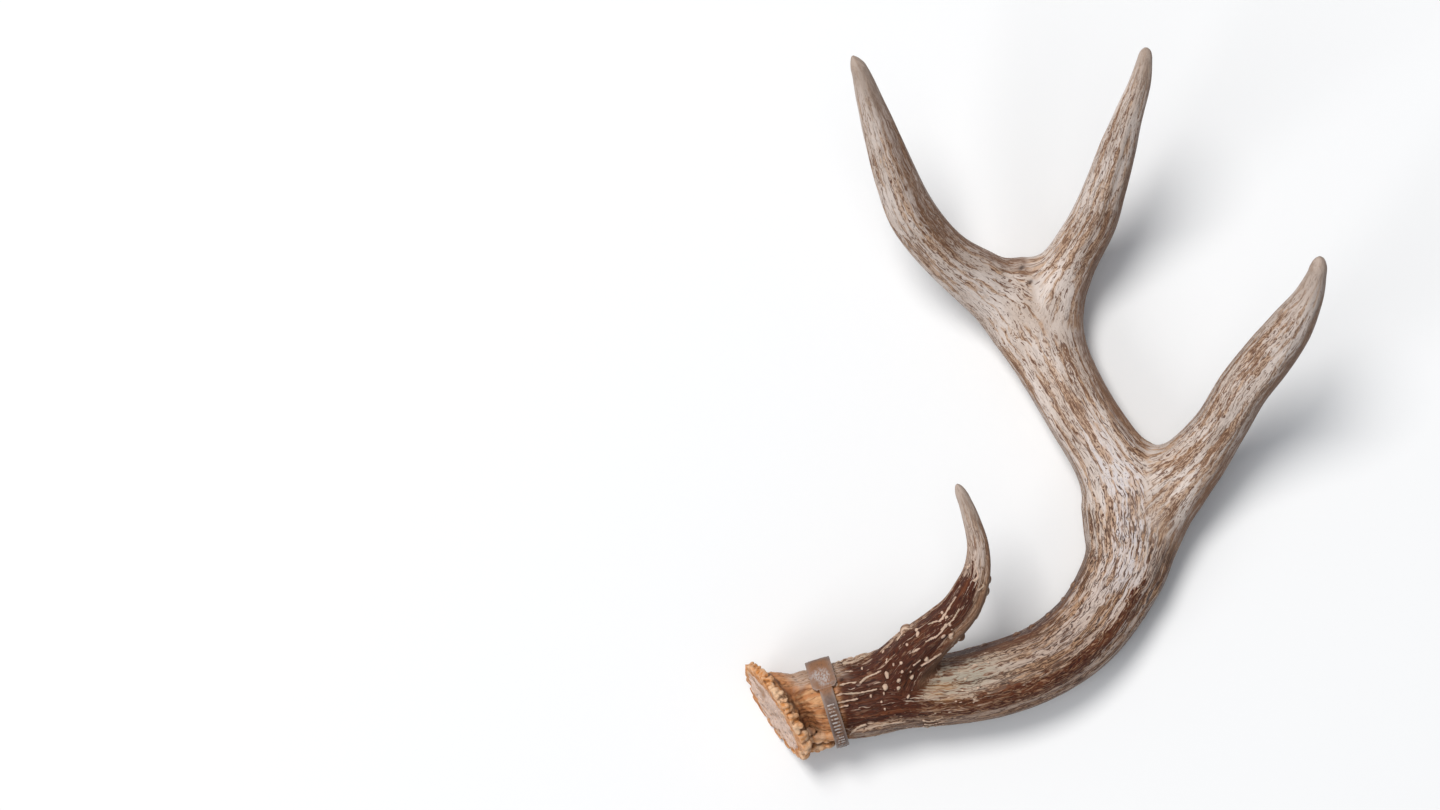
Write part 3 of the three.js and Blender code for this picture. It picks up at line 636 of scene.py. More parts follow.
def dress(mesh, names):
    # shapes the plain bone and writes what its material needs on every vertex
    count = len(mesh.vertices)
    co = np.empty(count * 3, dtype=np.float32)
    mesh.vertices.foreach_get("co", co)
    co = co.reshape(-1, 3).astype(float) / mm
    pairs = np.empty(len(mesh.edges) * 2, dtype=np.int32)
    mesh.edges.foreach_get("vertices", pairs)
    pairs = pairs.reshape(-1, 2)
    span = np.linalg.norm(co[pairs[:2000, 0]] - co[pairs[:2000, 1]], axis=1).mean()
    coords = {name: limbCoords(lines[name], co) for name in names}
    co, crease = liftForks(co, coords)
    rounds = (bone["voxel"] / span) ** 2
    turns = bone["creaseRounds"]["upper" if "third" in names else "brow"]
    close = (crease > 0.1)[pairs].any(1)
    co = relax(co, pairs[close], max(4, int(turns * rounds)), smoothStep(0.15, 0.7, crease))
    rimmed = smoothStep(24, 32, coords["beam"]["s"]) * 0.85 + 0.15
    co = relax(co, pairs, max(3, int(bone["relaxRounds"] * rounds)), rimmed)

    coords = {name: limbCoords(lines[name], co) for name in names}
    beam = coords["beam"]
    grains = {name: grainSpace(name, c) for name, c in coords.items()}
    tineNames, pick, tine, share = nearestTine(coords, count)
    tineGrain = np.array([grains[name] for name in tineNames])[pick, np.arange(count)]
    inward = -((co - seatCentre) @ seatNormal)
    radial = np.linalg.norm((co - seatCentre) + inward[:, None] * seatNormal, axis=1)

    height, sunk = np.zeros(count), np.zeros(count)
    for name, c in coords.items():
        mine = 1 - share if name == "beam" else share * (np.array(tineNames)[pick] == name)
        dig, deep = furrows(name, c, grains[name])
        height += mine * (gutters(name, c) + dig)
        sunk += mine * deep
    neck = smoothStep(4, 9, inward) * (1 - smoothStep(34, 46, inward)) * (1 - share)
    neckGrain = grains["beam"] / (2.1, 2.1, 26)
    height += neck * 0.75 * (np.abs(softNoise(neckGrain, 77)) ** 0.7 - 0.45)

    # ridges, pearls and single knobs
    chance = np.random.default_rng(relief["seed"])
    scatter = dict(
        stemLines=scatteredRows("beam", chance, "lines", 34, (2.6, 6.6), True),
        stemPearls=scatteredRows("beam", chance, "pearls", 150, (2.35, 6.9), True),
        browLines=scatteredRows("brow", chance, "lines", 34, (0.9, 5.2), True),
        browPearls=scatteredRows("brow", chance, "pearls", 46, (0.5, 2.9), False),
        beamLines=scatteredRows("beam", chance, "lines", 40, (6.2, 11.5), False),
    )
    raised = np.zeros(count)
    lumps = np.zeros(count)
    for name in ("beam", "brow"):
        mine = 1 - share if name == "beam" else share * (np.array(tineNames)[pick] == name)
        knobs = [(atStation(lines[limb], at), math.radians(angle), size, 1.25, tall)
                 for limb, at, angle, size, tall in edgeKnobs if limb == name]
        rows = [raiseLumps(coords[name], knobs)]
        if name == "beam":
            rows.append(raiseLines(coords[name], scatter["stemLines"]))
            rows.append(raiseLumps(coords[name], scatter["stemPearls"]))
            tall, top = raiseLines(coords[name], scatter["beamLines"])
            rows.append((tall * 0.5, top * 0.5))
        else:
            rows.append(raiseLines(coords[name], scatter["browLines"]))
            rows.append(raiseLumps(coords[name], scatter["browPearls"]))
        if name == "brow":
            mine = mine * coords[name]["begun"]
        for place, (tall, top) in enumerate(rows):
            lumps = np.maximum(lumps, mine * tall)
            raised = np.maximum(raised, mine * top * (0.15 if place == 0 else 1))
    normals = vertexNormals(mesh, co)
    tall, top = layOnTop(co, normals[:, 2] > 0.1)
    lumps, raised = np.maximum(lumps, tall), np.maximum(raised, top)
    height = height * (1 - 0.7 * np.minimum(raised, 1)) + lumps
    # small grit everywhere near the burr, fading along the bone
    grit = 0.35 * np.exp(-beam["s"] / 60) * (1 - share) + 0.12 * np.exp(-tine["s"] / 30) * share
    height += grit * softNoise(co / 1.7, 90) + 0.5 * grit * softNoise(co / 3.9, 91)
    crust = (1 - smoothStep(6.5, 9, inward)) * smoothStep(14, 19, radial)
    height += crust * (0.34 * softNoise(co / 2.3, 92) + 0.14 * softNoise(co / 1.2, 93))
    web = smoothStep(0.7, 1.0, crease)
    height *= 1 - 0.5 * web
    co += normals * height[:, None]

    # the seat is sawn flat but open-pored, the underside is worn flat
    inward = -((co - seatCentre) @ seatNormal)
    pores = 0.7 * np.clip(softNoise(co / 1.7, 61), 0, 1) + 1.1 * np.clip(softNoise(co / 4.2, 62), 0, 1)
    inner = 1 - smoothStep(17, 22, radial)
    past = np.maximum(0, 0.08 + pores * inner - inward) * (inward < 6)
    co -= seatNormal * past[:, None]
    low, high = np.array(cadBox[0]) / mm, np.array(cadBox[1]) / mm
    co = np.clip(co, low + 0.01, high - 0.01)

    zones = zonesOf(co, coords, tine, share, tineNames, pick, inward, radial, web)
    normals = vertexNormals(mesh, co)
    # how far each point lies below or above its surroundings
    hollow = ((relax(co, pairs, max(3, int(bone["hollowRounds"] * rounds))) - co) * normals).sum(1)
    keepVector(mesh, "grain", grains["beam"])
    keepVector(mesh, "grainTine", tineGrain)
    keepVector(mesh, "wholeNormal", normals)
    keepValue(mesh, "tineShare", share)
    keepValue(mesh, "raised", raised)
    keepValue(mesh, "sunk", np.clip(sunk, 0, 1))
    keepValue(mesh, "hollow", np.clip(0.5 + hollow / 0.5, 0, 1))
    for name, values in zones.items():
        keepValue(mesh, name, values)
    return mesh


def keepVector(mesh, name, values):
    layer = mesh.attributes.new(name, "FLOAT_VECTOR", "POINT")
    layer.data.foreach_set("vector", values.astype(np.float32).ravel())


def keepValue(mesh, name, values):
    layer = mesh.attributes.new(name, "FLOAT", "POINT")
    layer.data.foreach_set("value", values.astype(np.float32))


# where each colour lies, by limb, station and way round
zoneNames = (
    "dark", "streak", "neck", "neckTop", "rim", "seat", "purple", "calm", "tip", "armpit", "stain",
    "sheen", "warm", "stem", "old", "pits", "dusk", "gap")


def bump(value, low, high, soft):
    return smoothStep(low - soft, low + soft, value) * (1 - smoothStep(high - soft, high + soft, value))


def patchOn(gap, wide, tall):
    return np.exp(-(gap[:, 0] / wide) ** 2 - (gap[:, 1] / tall) ** 2)


def zonesOf(co, coords, tine, share, tineNames, pick, inward, radial, web):
    beam = coords["beam"]
    own = 1 - share
    at = beam["station"]
    station = at + 0.3 * softNoise(co / 9, 41)
    degrees = np.degrees(beam["turn"]) % 360 + 8 * softNoise(co / (4, 4, 8), 42)
    isTine = {name: share * (np.array(tineNames)[pick] == name) for name in tineNames}
    tineAt = tine["station"] + 0.3 * softNoise(co / 7, 43)
    tineTurn = np.degrees(tine["turn"]) % 360 + 8 * softNoise(co / 7, 44)
    innerEdge = np.clip(bump(degrees, -30, 33, 8) + bump(degrees, 336, 400, 9), 0, 1)
    under = bump(degrees, 205, 330, 10)

    # dark ground: round the stem, then as a band along the outer side, and up the brow tine
    begins = smoothStep(2.25, 2.6, at)
    stemDark = begins * (1 - smoothStep(4.8, 5.7, station)) * (1 - 0.6 * innerEdge)
    stemDark *= 1 - 0.72 * bump(degrees, 131, 205, 7) * smoothStep(2.4, 3.2, at)
    bandDark = smoothStep(4, 5, station) * (1 - 0.3 * smoothStep(8.6, 9.6, station))
    bandDark *= (1 - smoothStep(9.8, 11.4, station)) * bump(degrees, 104, 133, 6)
    underDark = 0.75 * under * begins * (1 - smoothStep(6, 10, station))
    dark = np.maximum(np.maximum(stemDark, bandDark), underDark) * own
    if "brow" in isTine:
        right = smoothStep(88, 125, tineTurn) * (1 - smoothStep(235, 275, tineTurn))
        browDark = 1 - smoothStep(4.0 - 2.6 * right, 6.6 - 3.8 * right, tineAt)
        left = np.clip(bump(tineTurn, -20, 20, 7) + bump(tineTurn, 345, 400, 7), 0, 1)
        dark = dark + isTine["brow"] * browDark * (1 - 0.6 * left * smoothStep(0.3, 1.0, tineAt))

    streak = np.interp(at, [2, 5, 8, 10, 12, 13, 14.5, 16, 17.3, 18.3, 20, 23, 25],
                       [0.6, 0.95, 0.95, 0.85, 0.6, 0.47, 0.5, 0.5, 0.27, 0.33, 0.5, 0.42, 0.3])
    streak = streak + 0.25 * bump(degrees, 118, 205, 12) * bump(at, 8, 15, 1)
    streak = streak + 0.35 * innerEdge * bump(at, 13.5, 17.5, 1)
    tineStreak = np.interp(tine["station"], [0, 1.5, 4, 7, 9], [0.4, 0.55, 0.55, 0.4, 0.2])
    if "second" in isTine:
        tineStreak = tineStreak + 0.07 * (isTine["second"] > 0)
    if "brow" in isTine:
        browStreak = np.interp(tine["station"], [0, 3, 6, 9], [0.95, 0.9, 0.6, 0.2])
        tineStreak = np.where(isTine["brow"] > 0, browStreak, tineStreak)
    streak = streak * own + tineStreak * share
    wide = np.interp(at, [5, 6, 8, 9.5, 11], [38, 46, 36, 24, 18])
    purple = smoothStep(6, -6, degrees - wide) + smoothStep(290, 310, degrees)
    purple = np.clip(purple, 0, 1) * smoothStep(5.1, 6.1, at) * (1 - smoothStep(8.0, 13.0, station)) * own
    warm = begins * (1 - smoothStep(4.8, 11.0, at)) * own
    if "brow" in isTine:
        warm = warm + isTine["brow"] * (1 - smoothStep(2.5, 8.5, tine["station"]))
    length = np.array([lines[name]["stations"] for name in tineNames])[pick]
    tip = share * smoothStep(length - 3.0, length - 0.6, tine["station"])
    tip = np.maximum(tip, own * smoothStep(22.8, 25.2, at))
    armpit, pits, stain = np.zeros((3, len(co)))
    if "brow" in coords:
        gap = (co[:, :2] - armpitMiddle - partShift[:2]) @ np.array([[1, -0.25], [0, 1]])
        armpit = np.clip(1.4 * patchOn(gap, 20, 8.5), 0, 1) * (1 - isTine["brow"])
    streak = streak * (1 - 0.62 * armpit)
    upper = co[:, 2] > upperFrom
    lean = np.array([[0.8, -0.6], [0.6, 0.8]])
    for x, y in forkPits:
        gap = (co[:, :2] - (x, y) - 0.25 * softNoise(co / 0.8, 46)[:, None]) @ lean
        pits = np.maximum(pits, patchOn(gap, 1.7, 0.9) * upper)
    for x, y, wide, tall in stains:
        stain = np.maximum(stain, patchOn(co[:, :2] - (x, y) - partShift[:2], wide, tall) * upper)

    # painted shade and browning: the side turned away from the key light is painted browner and streakier
    # towards the ends, partly for its real brown streaks
    dusk = bump(degrees, 138, 240, 15) * smoothStep(13.0, 15.0, at)
    dusk = np.maximum(dusk, 0.85 * bump(degrees, 96, 240, 17) * smoothStep(19.6, 21.0, at)) * own
    dusk = dusk + bump(tineTurn, 138, 240, 15) * share
    streak = streak + 0.3 * dusk
    neck = (1 - smoothStep(2.3, 2.7, at)) * own
    neckTop = np.clip(bump(degrees, -20, 52, 10) + bump(degrees, 345, 400, 10), 0, 1)
    neckTop *= bump(inward, 12, 34, 3) * own
    rim = (1 - smoothStep(5.4, 7.2, inward)) * own
    below = bump(degrees, 150, 230, 14)
    # painted shadow: a dark line in the groove behind the rim's knobs, where shade falls between the rim
    # and the neck
    gap = bump(inward + 0.8 * softNoise(co / 3, 47), 5.6, 7.4, 0.8) * (1 - below) * own
    # the rim's knobs spill over the seat's upper edge
    upward = (co - seatCentre) @ tilted(-seatNormal)[1] / 21
    seatEdge = 19.9 - 4.6 * smoothStep(-0.1, 0.9, upward) + 2.4 * softNoise(co / 3, 45)
    seat = 1 - smoothStep(seatEdge - 0.8, seatEdge + 0.8, radial)
    seat = (1 - smoothStep(0.5, 1.1, inward)) * seat * own
    # painted sheen: a bluish-pale reflection painted on the upper side of the bend
    sheen = bump(degrees, 62, 108, 12) * bump(at, 9.8, 14.5, 0.8) * own
    lowKnobs = below * (1 - smoothStep(20, 26, inward)) * own
    return dict(
        dark=np.clip(dark, 0, 1), streak=np.clip(streak, 0, 1),
        stem=np.clip(stemDark * own + share, 0, 1), old=own * (1 - smoothStep(12.0, 15.5, at)),
        rim=np.maximum(rim, lowKnobs), seat=seat, neck=neck, neckTop=neckTop, purple=purple, calm=web,
        tip=tip, armpit=armpit, stain=stain, sheen=sheen, gap=gap, warm=warm, dusk=dusk, pits=pits,
    )


# parting the bone at its main forks
parting = dict(
    cuts=[("brow", 1.75, 15.5), ("beam", 6.6, 25), ("beam", 14.3, 25), ("second", 1.85, 20.5),
          ("beam", 19.0, 20.5), ("third", 1.9, 17)],
    inside=dict(
        base_stem=("beam", 3), brow_tine=("brow", 5), main_beam=("beam", 10), second_tine=("second", 5),
        upper_beam=("beam", 16), third_tine=("third", 5), beam_tip=("beam", 22)),
)


def partBone(mesh, names, wanted):
    bm = bmesh.new()
    bm.from_mesh(mesh)
    for name, station, radius in parting["cuts"]:
        if name not in names:
            continue
        middle, along = frameOf(lines[name], atStation(lines[name], station))[:2]
        spot, way = Vector(middle * mm), Vector(unit(along))
        near = [f for f in bm.faces if abs((f.verts[0].co - spot) @ way) < 3 * mm
                and (f.verts[0].co - spot).length < radius * mm]
        if not near:
            continue
        geom = [*{v for f in near for v in f.verts}, *{e for f in near for e in f.edges}, *near]
        cut = bmesh.ops.bisect_plane(bm, geom=geom, dist=1e-7, plane_co=spot, plane_no=way)
        seam = [e for e in cut["geom_cut"] if isinstance(e, bmesh.types.BMEdge)]
        bmesh.ops.split_edges(bm, edges=seam)
    bm.faces.ensure_lookup_table()
    bm.faces.index_update()
    label = np.full(len(bm.faces), -1)
    for place, piece in enumerate(wanted):
        name, station = parting["inside"][piece]
        inside = Vector(frameOf(lines[name], atStation(lines[name], station))[0] * mm)
        start = min(bm.faces, key=lambda f: (f.verts[0].co - inside).length_squared)
        label[start.index] = place
        waiting = [start]
        while waiting:
            face = waiting.pop()
            for edge in face.edges:
                for other in edge.link_faces:
                    if label[other.index] < 0:
                        label[other.index] = place
                        waiting.append(other)
    made = {}
    for place, piece in enumerate(wanted):
        part = bm.copy()
        part.faces.ensure_lookup_table()
        drop = [f for f, at in zip(part.faces, label) if at != place]
        bmesh.ops.delete(part, geom=drop, context="FACES")
        rim = [e for e in part.edges if e.is_boundary]
        bmesh.ops.holes_fill(part, edges=rim, sides=0)
        for face in part.faces:
            face.smooth = True
        made[piece] = part
    bm.free()
    return made


def finishPiece(name, bm, material, node):
    mesh = bpy.data.meshes.new(name)
    bm.to_mesh(mesh)
    bm.free()
    whole = np.empty(len(mesh.vertices) * 3, dtype=np.float32)
    mesh.attributes["wholeNormal"].data.foreach_get("vector", whole)
    mesh.normals_split_custom_set_from_vertices(unit(whole.reshape(-1, 3)).tolist())
    mesh.attributes.remove(mesh.attributes["wholeNormal"])
    mesh.materials.append(material)
    piece = bpy.data.objects.new(name, mesh)
    scene.collection.objects.link(piece)
    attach(piece, "root")
    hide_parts(node)
    mesh.calc_loop_triangles()
    print(name, len(mesh.loop_triangles), "triangles")
    return piece


# a small maker of shader nodes
class Nodes:
    def __init__(self, tree):
        self.tree = tree

    def put(self, kind, **settings):
        made = self.tree.nodes.new(kind)
        for key, value in settings.items():
            setattr(made, key, value)
        return made

    def feed(self, source, socket):
        if isinstance(source, (int, float)):
            socket.default_value = source
        elif isinstance(source, (tuple, list)):
            socket.default_value = (*source, 1)[:len(socket.default_value)]
        else:
            self.tree.links.new(source, socket)

    def feedAll(self, made, sources, first=0):
        for place, source in enumerate(sources):
            self.feed(source, made.inputs[first + place])

    def sums(self, kind, *sources):
        made = self.put("ShaderNodeMath", operation=kind)
        self.feedAll(made, sources)
        return made.outputs[0]

    def plus(self, a, b):
        return self.sums("ADD", a, b)

    def minus(self, a, b):
        return self.sums("SUBTRACT", a, b)

    def times(self, a, b):
        return self.sums("MULTIPLY", a, b)

    def most(self, a, b):
        return self.sums("MAXIMUM", a, b)

    def step(self, value, low, high, toLow=0.0, toHigh=1.0):
        made = self.put("ShaderNodeMapRange", interpolation_type="SMOOTHSTEP")
        self.feedAll(made, (value, low, high, toLow, toHigh))
        return made.outputs[0]

    def mix(self, share, a, b):
        made = self.put("ShaderNodeMix", data_type="RGBA", clamp_factor=True)
        self.feed(share, made.inputs[0])
        self.feedAll(made, (a, b), 6)
        return made.outputs[2]

    def mixValue(self, share, a, b):
        made = self.put("ShaderNodeMix", data_type="FLOAT", clamp_factor=True)
        self.feed(share, made.inputs[0])
        self.feedAll(made, (a, b), 2)
        return made.outputs[0]

    def scaled(self, vector, x, y, z, move=(0, 0, 0)):
        made = self.put("ShaderNodeMapping")
        self.feed(vector, made.inputs["Vector"])
        made.inputs["Scale"].default_value = (x, y, z)
        made.inputs["Location"].default_value = move
        return made.outputs[0]

    def noise(self, vector, scale=1.0, detail=2.0, rough=0.5):
        made = self.put("ShaderNodeTexNoise")
        self.feed(vector, made.inputs["Vector"])
        made.inputs["Scale"].default_value = scale
        made.inputs["Detail"].default_value = detail
        made.inputs["Roughness"].default_value = rough
        return made.outputs["Fac"]

    def read(self, name, vector=False):
        made = self.put("ShaderNodeAttribute", attribute_name=name)
        return made.outputs["Vector" if vector else "Fac"]

    def raisedBy(self, height, strength, distance, shader):
        made = self.put("ShaderNodeBump")
        made.inputs["Strength"].default_value = strength
        made.inputs["Distance"].default_value = distance
        self.feed(height, made.inputs["Height"])
        self.feed(made.outputs["Normal"], shader.inputs["Normal"])


def newLook(name):
    look = bpy.data.materials.new(name)
    look.use_nodes = True
    return look, Nodes(look.node_tree), look.node_tree.nodes["Principled BSDF"]


# the lengthwise grain that every limb shares: scale across and along, shift, detail
grainNoise = dict(
    Fibre=((2.1, 2.1, 0.2), (0, 0, 0), 2), Dash=((2.5, 2.5, 0.17), (5, 2, 9), 1),
    Line=((1.9, 1.9, 0.035), (1, 7, 3), 1), Band=((0.5, 0.5, 0.026), (8, 3, 4), 2),
    Patch=((0.09, 0.09, 0.028), (2, 6, 5), 2), Fleck=((2.6, 2.6, 0.45), (3, 9, 1), 1),
)


def makeGrain():
    tree = bpy.data.node_groups.new("lengthwiseGrain", "ShaderNodeTree")
    tree.interface.new_socket("Grain", in_out="INPUT", socket_type="NodeSocketVector")
    for name in (*grainNoise, "Vein"):
        tree.interface.new_socket(name, in_out="OUTPUT", socket_type="NodeSocketFloat")
    n = Nodes(tree)
    start, end = n.put("NodeGroupInput"), n.put("NodeGroupOutput")
    flow = start.outputs["Grain"]
    # the fibres sway a little sideways, like real grain
    sway = n.put("ShaderNodeTexNoise")
    n.feed(n.scaled(flow, 0.13, 0.13, 0.03), sway.inputs["Vector"])
    sway.inputs["Detail"].default_value = 1.0
    centred = n.put("ShaderNodeVectorMath", operation="SUBTRACT")
    n.feedAll(centred, (sway.outputs["Color"], (0.5, 0.5, 0.5)))
    shift = n.put("ShaderNodeVectorMath", operation="MULTIPLY_ADD")
    n.feedAll(shift, (centred.outputs[0], (2.2, 2.2, 0.0), flow))
    flow = shift.outputs[0]
    for name, (size, move, detail) in grainNoise.items():
        n.feed(n.noise(n.scaled(flow, *size, move), detail=detail), end.inputs[name])
    # veins run where a long drawn-out noise crosses its middle value
    vein = n.noise(n.scaled(flow, 0.5, 0.5, 0.024, (4, 4, 8)), detail=1.5)
    away = n.sums("ABSOLUTE", n.minus(vein, 0.5))
    n.feed(n.step(away, 0.004, 0.026, 1, 0), end.inputs["Vein"])
    return tree


boneColours = dict(
    pale=(0.63, 0.54, 0.485), mid=(0.50, 0.40, 0.335), ivory=(0.49, 0.37, 0.28),
    # the bluish-pale colour of the painted sheen
    sheen=(0.58, 0.53, 0.53),
    umber=(0.190, 0.098, 0.056), tan=(0.38, 0.225, 0.135), gold=(0.44, 0.235, 0.098),
    dirt=(0.060, 0.022, 0.011), dash=(0.105, 0.043, 0.024), deep=(0.033, 0.012, 0.008),
    darkest=(0.018, 0.006, 0.004), chocolate=(0.070, 0.0175, 0.0075), russet=(0.140, 0.042, 0.016),
    rust=(0.175, 0.076, 0.032), plum=(0.050, 0.015, 0.011), purple=(0.062, 0.031, 0.027),
    outer=(0.52, 0.39, 0.285), cream=(0.60, 0.42, 0.315), neckTan=(0.47, 0.197, 0.077),
    neckBrown=(0.170, 0.058, 0.022), neckCream=(0.62, 0.34, 0.165), neckGrey=(0.54, 0.41, 0.33),
    rimAmber=(0.54, 0.215, 0.062), rimCream=(0.72, 0.47, 0.29), seatPale=(0.69, 0.51, 0.42),
    seatDark=(0.42, 0.25, 0.16), tips=(0.24, 0.165, 0.125), armpit=(0.34, 0.295, 0.23),
    stain=(0.42, 0.215, 0.085),
)


def makeBoneMaterial():
    c = SimpleNamespace(**boneColours)
    look, n, shader = newLook("antlerBone")
    shared = makeGrain()
    share = n.read("tineShare")
    grains = []
    for name in ("grain", "grainTine"):
        grains.append(n.put("ShaderNodeGroup", node_tree=shared))
        n.feed(n.read(name, True), grains[-1].inputs[0])
    fibre, dash, line, band, patch, fleck, vein = (
        n.mixValue(share, one, other) for one, other in zip(grains[0].outputs, grains[1].outputs))
    place = n.put("ShaderNodeTexCoord").outputs["Object"]
    speck = n.noise(place, 900, 2, 0.6)
    blotch = n.noise(place, 130, 2, 0.5)
    zone = SimpleNamespace(**{name: n.read(name) for name in zoneNames + ("raised", "sunk", "hollow")})

    # pale to tan ground, then golden lines, long pale ridges and brown dashes
    rich = n.step(zone.streak, 0.55, 1.0)
    ground = n.mix(n.step(patch, 0.38, 0.66), c.pale, c.mid)
    # painted sheen: a bluish-pale reflection painted along the grain at the bend
    ground = n.mix(n.times(zone.sheen, n.step(line, 0.56, 0.44)), ground, c.sheen)
    golden = n.plus(band, n.times(zone.streak, 0.16))
    golden = n.times(n.step(golden, 0.54, 0.72), n.mixValue(rich, 0.7, 0.95))
    ground = n.mix(golden, ground, n.mix(blotch, c.tan, c.gold))
    ridge = n.times(n.step(line, 0.37, 0.42, 1, 0), zone.streak)
    ground = n.mix(n.times(zone.warm, 0.75), ground, c.tan)
    ground = n.mix(n.times(rich, 0.32), ground, c.umber)
    ridge = n.times(ridge, n.mixValue(zone.old, 0.4, 0.28))
    ground = n.mix(ridge, ground, n.mix(rich, c.pale, c.ivory))
    lineCut = n.minus(0.70, n.times(zone.streak, 0.16))
    lineMask = n.step(n.minus(line, lineCut), -0.008, 0.03)
    lineMask = n.times(lineMask, n.step(dash, 0.38, 0.46))
    crowd = n.plus(n.times(n.minus(band, 0.5), 0.55), n.times(n.minus(patch, 0.5), 0.4))
    dashCut = n.minus(n.minus(0.70, n.times(zone.streak, 0.155)), crowd)
    dashMask = n.step(n.minus(dash, dashCut), -0.012, 0.04)
    fleckMask = n.step(n.minus(fleck, n.plus(dashCut, 0.02)), 0, 0.04)
    sunkMask = n.times(zone.sunk, n.times(zone.streak, n.step(fibre, 0.44, 0.6)))
    brown = n.most(n.most(lineMask, dashMask), n.times(sunkMask, 0.4))
    brown = n.most(brown, n.times(fleckMask, 0.75))
    brown = n.times(brown, n.minus(1.0, n.times(zone.calm, 0.35)))
    softBrown, deepBrown = n.mix(zone.old, c.umber, c.dash), n.mix(zone.old, c.dash, c.deep)
    brownTone = n.mix(n.step(fibre, 0.4, 0.6), softBrown, deepBrown)
    pocket = n.mix(n.step(line, 0.5, 0.6), c.armpit, c.umber)
    surface = n.mix(n.times(zone.armpit, 0.95), ground, pocket)
    surface = n.mix(n.times(brown, 0.88), surface, brownTone)
    surface = n.mix(n.times(n.step(fibre, 0.48, 0.7), 0.16), surface, c.deep)

    # the dark ground of the stem, its edge broken up along the grain
    wobble = n.plus(n.times(n.minus(band, 0.5), 1.5), n.times(n.minus(line, 0.5), 2.2))
    wobble = n.times(wobble, n.step(zone.dark, 0.0, 0.5))
    darkMask = n.step(n.plus(zone.dark, wobble), 0.38, 0.62)
    earth = n.mix(n.step(band, 0.5, 0.72, 0, 0.85), c.chocolate, c.russet)
    earth = n.mix(n.step(blotch, 0.54, 0.74, 0, 0.6), earth, c.plum)
    earth = n.mix(n.times(n.step(dash, 0.52, 0.62), 0.7), earth, c.darkest)
    veinShown = n.times(vein, n.step(blotch, 0.42, 0.62))
    veinShown = n.most(veinShown, n.step(line, 0.31, 0.35, 1, 0))
    earth = n.mix(n.times(veinShown, n.mixValue(zone.stem, 0.75, 0.36)), earth, c.tan)
    golden = n.times(n.step(fleck, 0.5, 0.62), n.minus(1.0, zone.stem))
    earth = n.mix(n.times(golden, 0.45), earth, c.rust)
    broken = n.times(n.step(fibre, 0.55, 0.66), n.minus(1.0, zone.stem))
    earth = n.mix(n.times(broken, 0.6), earth, c.tan)
    surface = n.mix(darkMask, surface, earth)
    bruise = n.mix(n.step(band, 0.42, 0.6), c.purple, n.mix(n.step(line, 0.42, 0.52), c.umber, c.dash))
    surface = n.mix(n.times(zone.purple, n.step(line, 0.36, 0.44, 0.4, 0.92)), surface, bruise)

    # ochre patch beside the brow tine, then neck, rim and seat
    surface = n.mix(n.times(zone.stain, n.times(n.step(band, 0.35, 0.6), 0.6)), surface, c.stain)
    warm = n.mix(n.step(band, 0.46, 0.7), c.neckTan, c.neckCream)
    warm = n.mix(n.times(n.step(blotch, 0.42, 0.6), 0.6), warm, c.neckBrown)
    warm = n.mix(n.times(n.step(line, 0.52, 0.66), 0.55), warm, c.neckBrown)
    surface = n.mix(zone.neck, surface, warm)
    greyed = n.mix(n.step(line, 0.45, 0.6), c.neckGrey, c.tan)
    surface = n.mix(n.times(zone.neckTop, 0.8), surface, greyed)
    knob = n.mix(n.step(blotch, 0.45, 0.66), c.rimAmber, c.rimCream)
    knob = n.mix(n.times(n.step(speck, 0.52, 0.7), 0.4), knob, c.neckTan)
    knob = n.mix(n.times(n.step(fleck, 0.52, 0.66), 0.35), knob, c.neckBrown)
    surface = n.mix(zone.rim, surface, knob)
    # painted shadow line behind the rim's knobs, in the dirt colour
    surface = n.mix(n.times(zone.gap, 0.7), surface, c.dirt)
    sawn = n.mix(n.step(blotch, 0.46, 0.68), c.seatPale, c.seatDark)
    sawn = n.mix(n.step(speck, 0.54, 0.68, 0, 0.5), sawn, c.neckTan)
    surface = n.mix(zone.seat, surface, sawn)

    # dirt in the hollows, wear on the crests
    near = n.most(zone.warm, zone.neck)
    dirt = n.times(n.step(zone.hollow, 0.56, 0.82), n.mixValue(near, 0.22, 0.48))
    surface = n.mix(dirt, surface, c.dirt)
    worn = n.mixValue(zone.rim, n.mixValue(zone.dark, 0.14, 0.02), 0.45)
    crest = n.times(n.step(zone.hollow, 0.42, 0.15), worn)
    surface = n.mix(crest, surface, n.mix(zone.rim, c.ivory, c.rimCream))
    # painted shade and browning: umber along the grain on the side turned away from the key light
    surface = n.mix(n.times(zone.dusk, n.step(line, 0.36, 0.56, 0.42, 0.85)), surface, c.umber)

    # cream on what stands up, worn darker at the tips
    surface = n.mix(n.times(n.step(zone.raised, 0.25, 0.8), 0.9), surface,
                    n.mix(n.step(blotch, 0.42, 0.66), c.cream, c.outer))
    surface = n.mix(n.times(zone.tip, 0.8), surface, n.mix(fibre, c.tips, c.mid))
    # painted shade inside the two fork pits
    surface = n.mix(n.times(zone.pits, 0.9), surface, c.deep)
    n.feed(surface, shader.inputs["Base Color"])

    dull = n.mixValue(zone.dark, 0.46, 0.5)
    n.feed(n.plus(dull, n.times(speck, 0.16)), shader.inputs["Roughness"])
    shader.inputs["Specular IOR Level"].default_value = 0.17
    rise = n.times(fibre, 0.35)
    rise = n.plus(rise, n.times(speck, 0.22))
    rise = n.minus(rise, n.times(brown, 0.45))
    rise = n.plus(rise, n.times(zone.raised, 0.3))
    rise = n.minus(rise, n.times(zone.pits, 2.0))
    rise = n.plus(rise, n.times(vein, n.times(zone.streak, 0.3)))
    n.raisedBy(rise, 0.8, 0.35 * mm, shader)
    return look


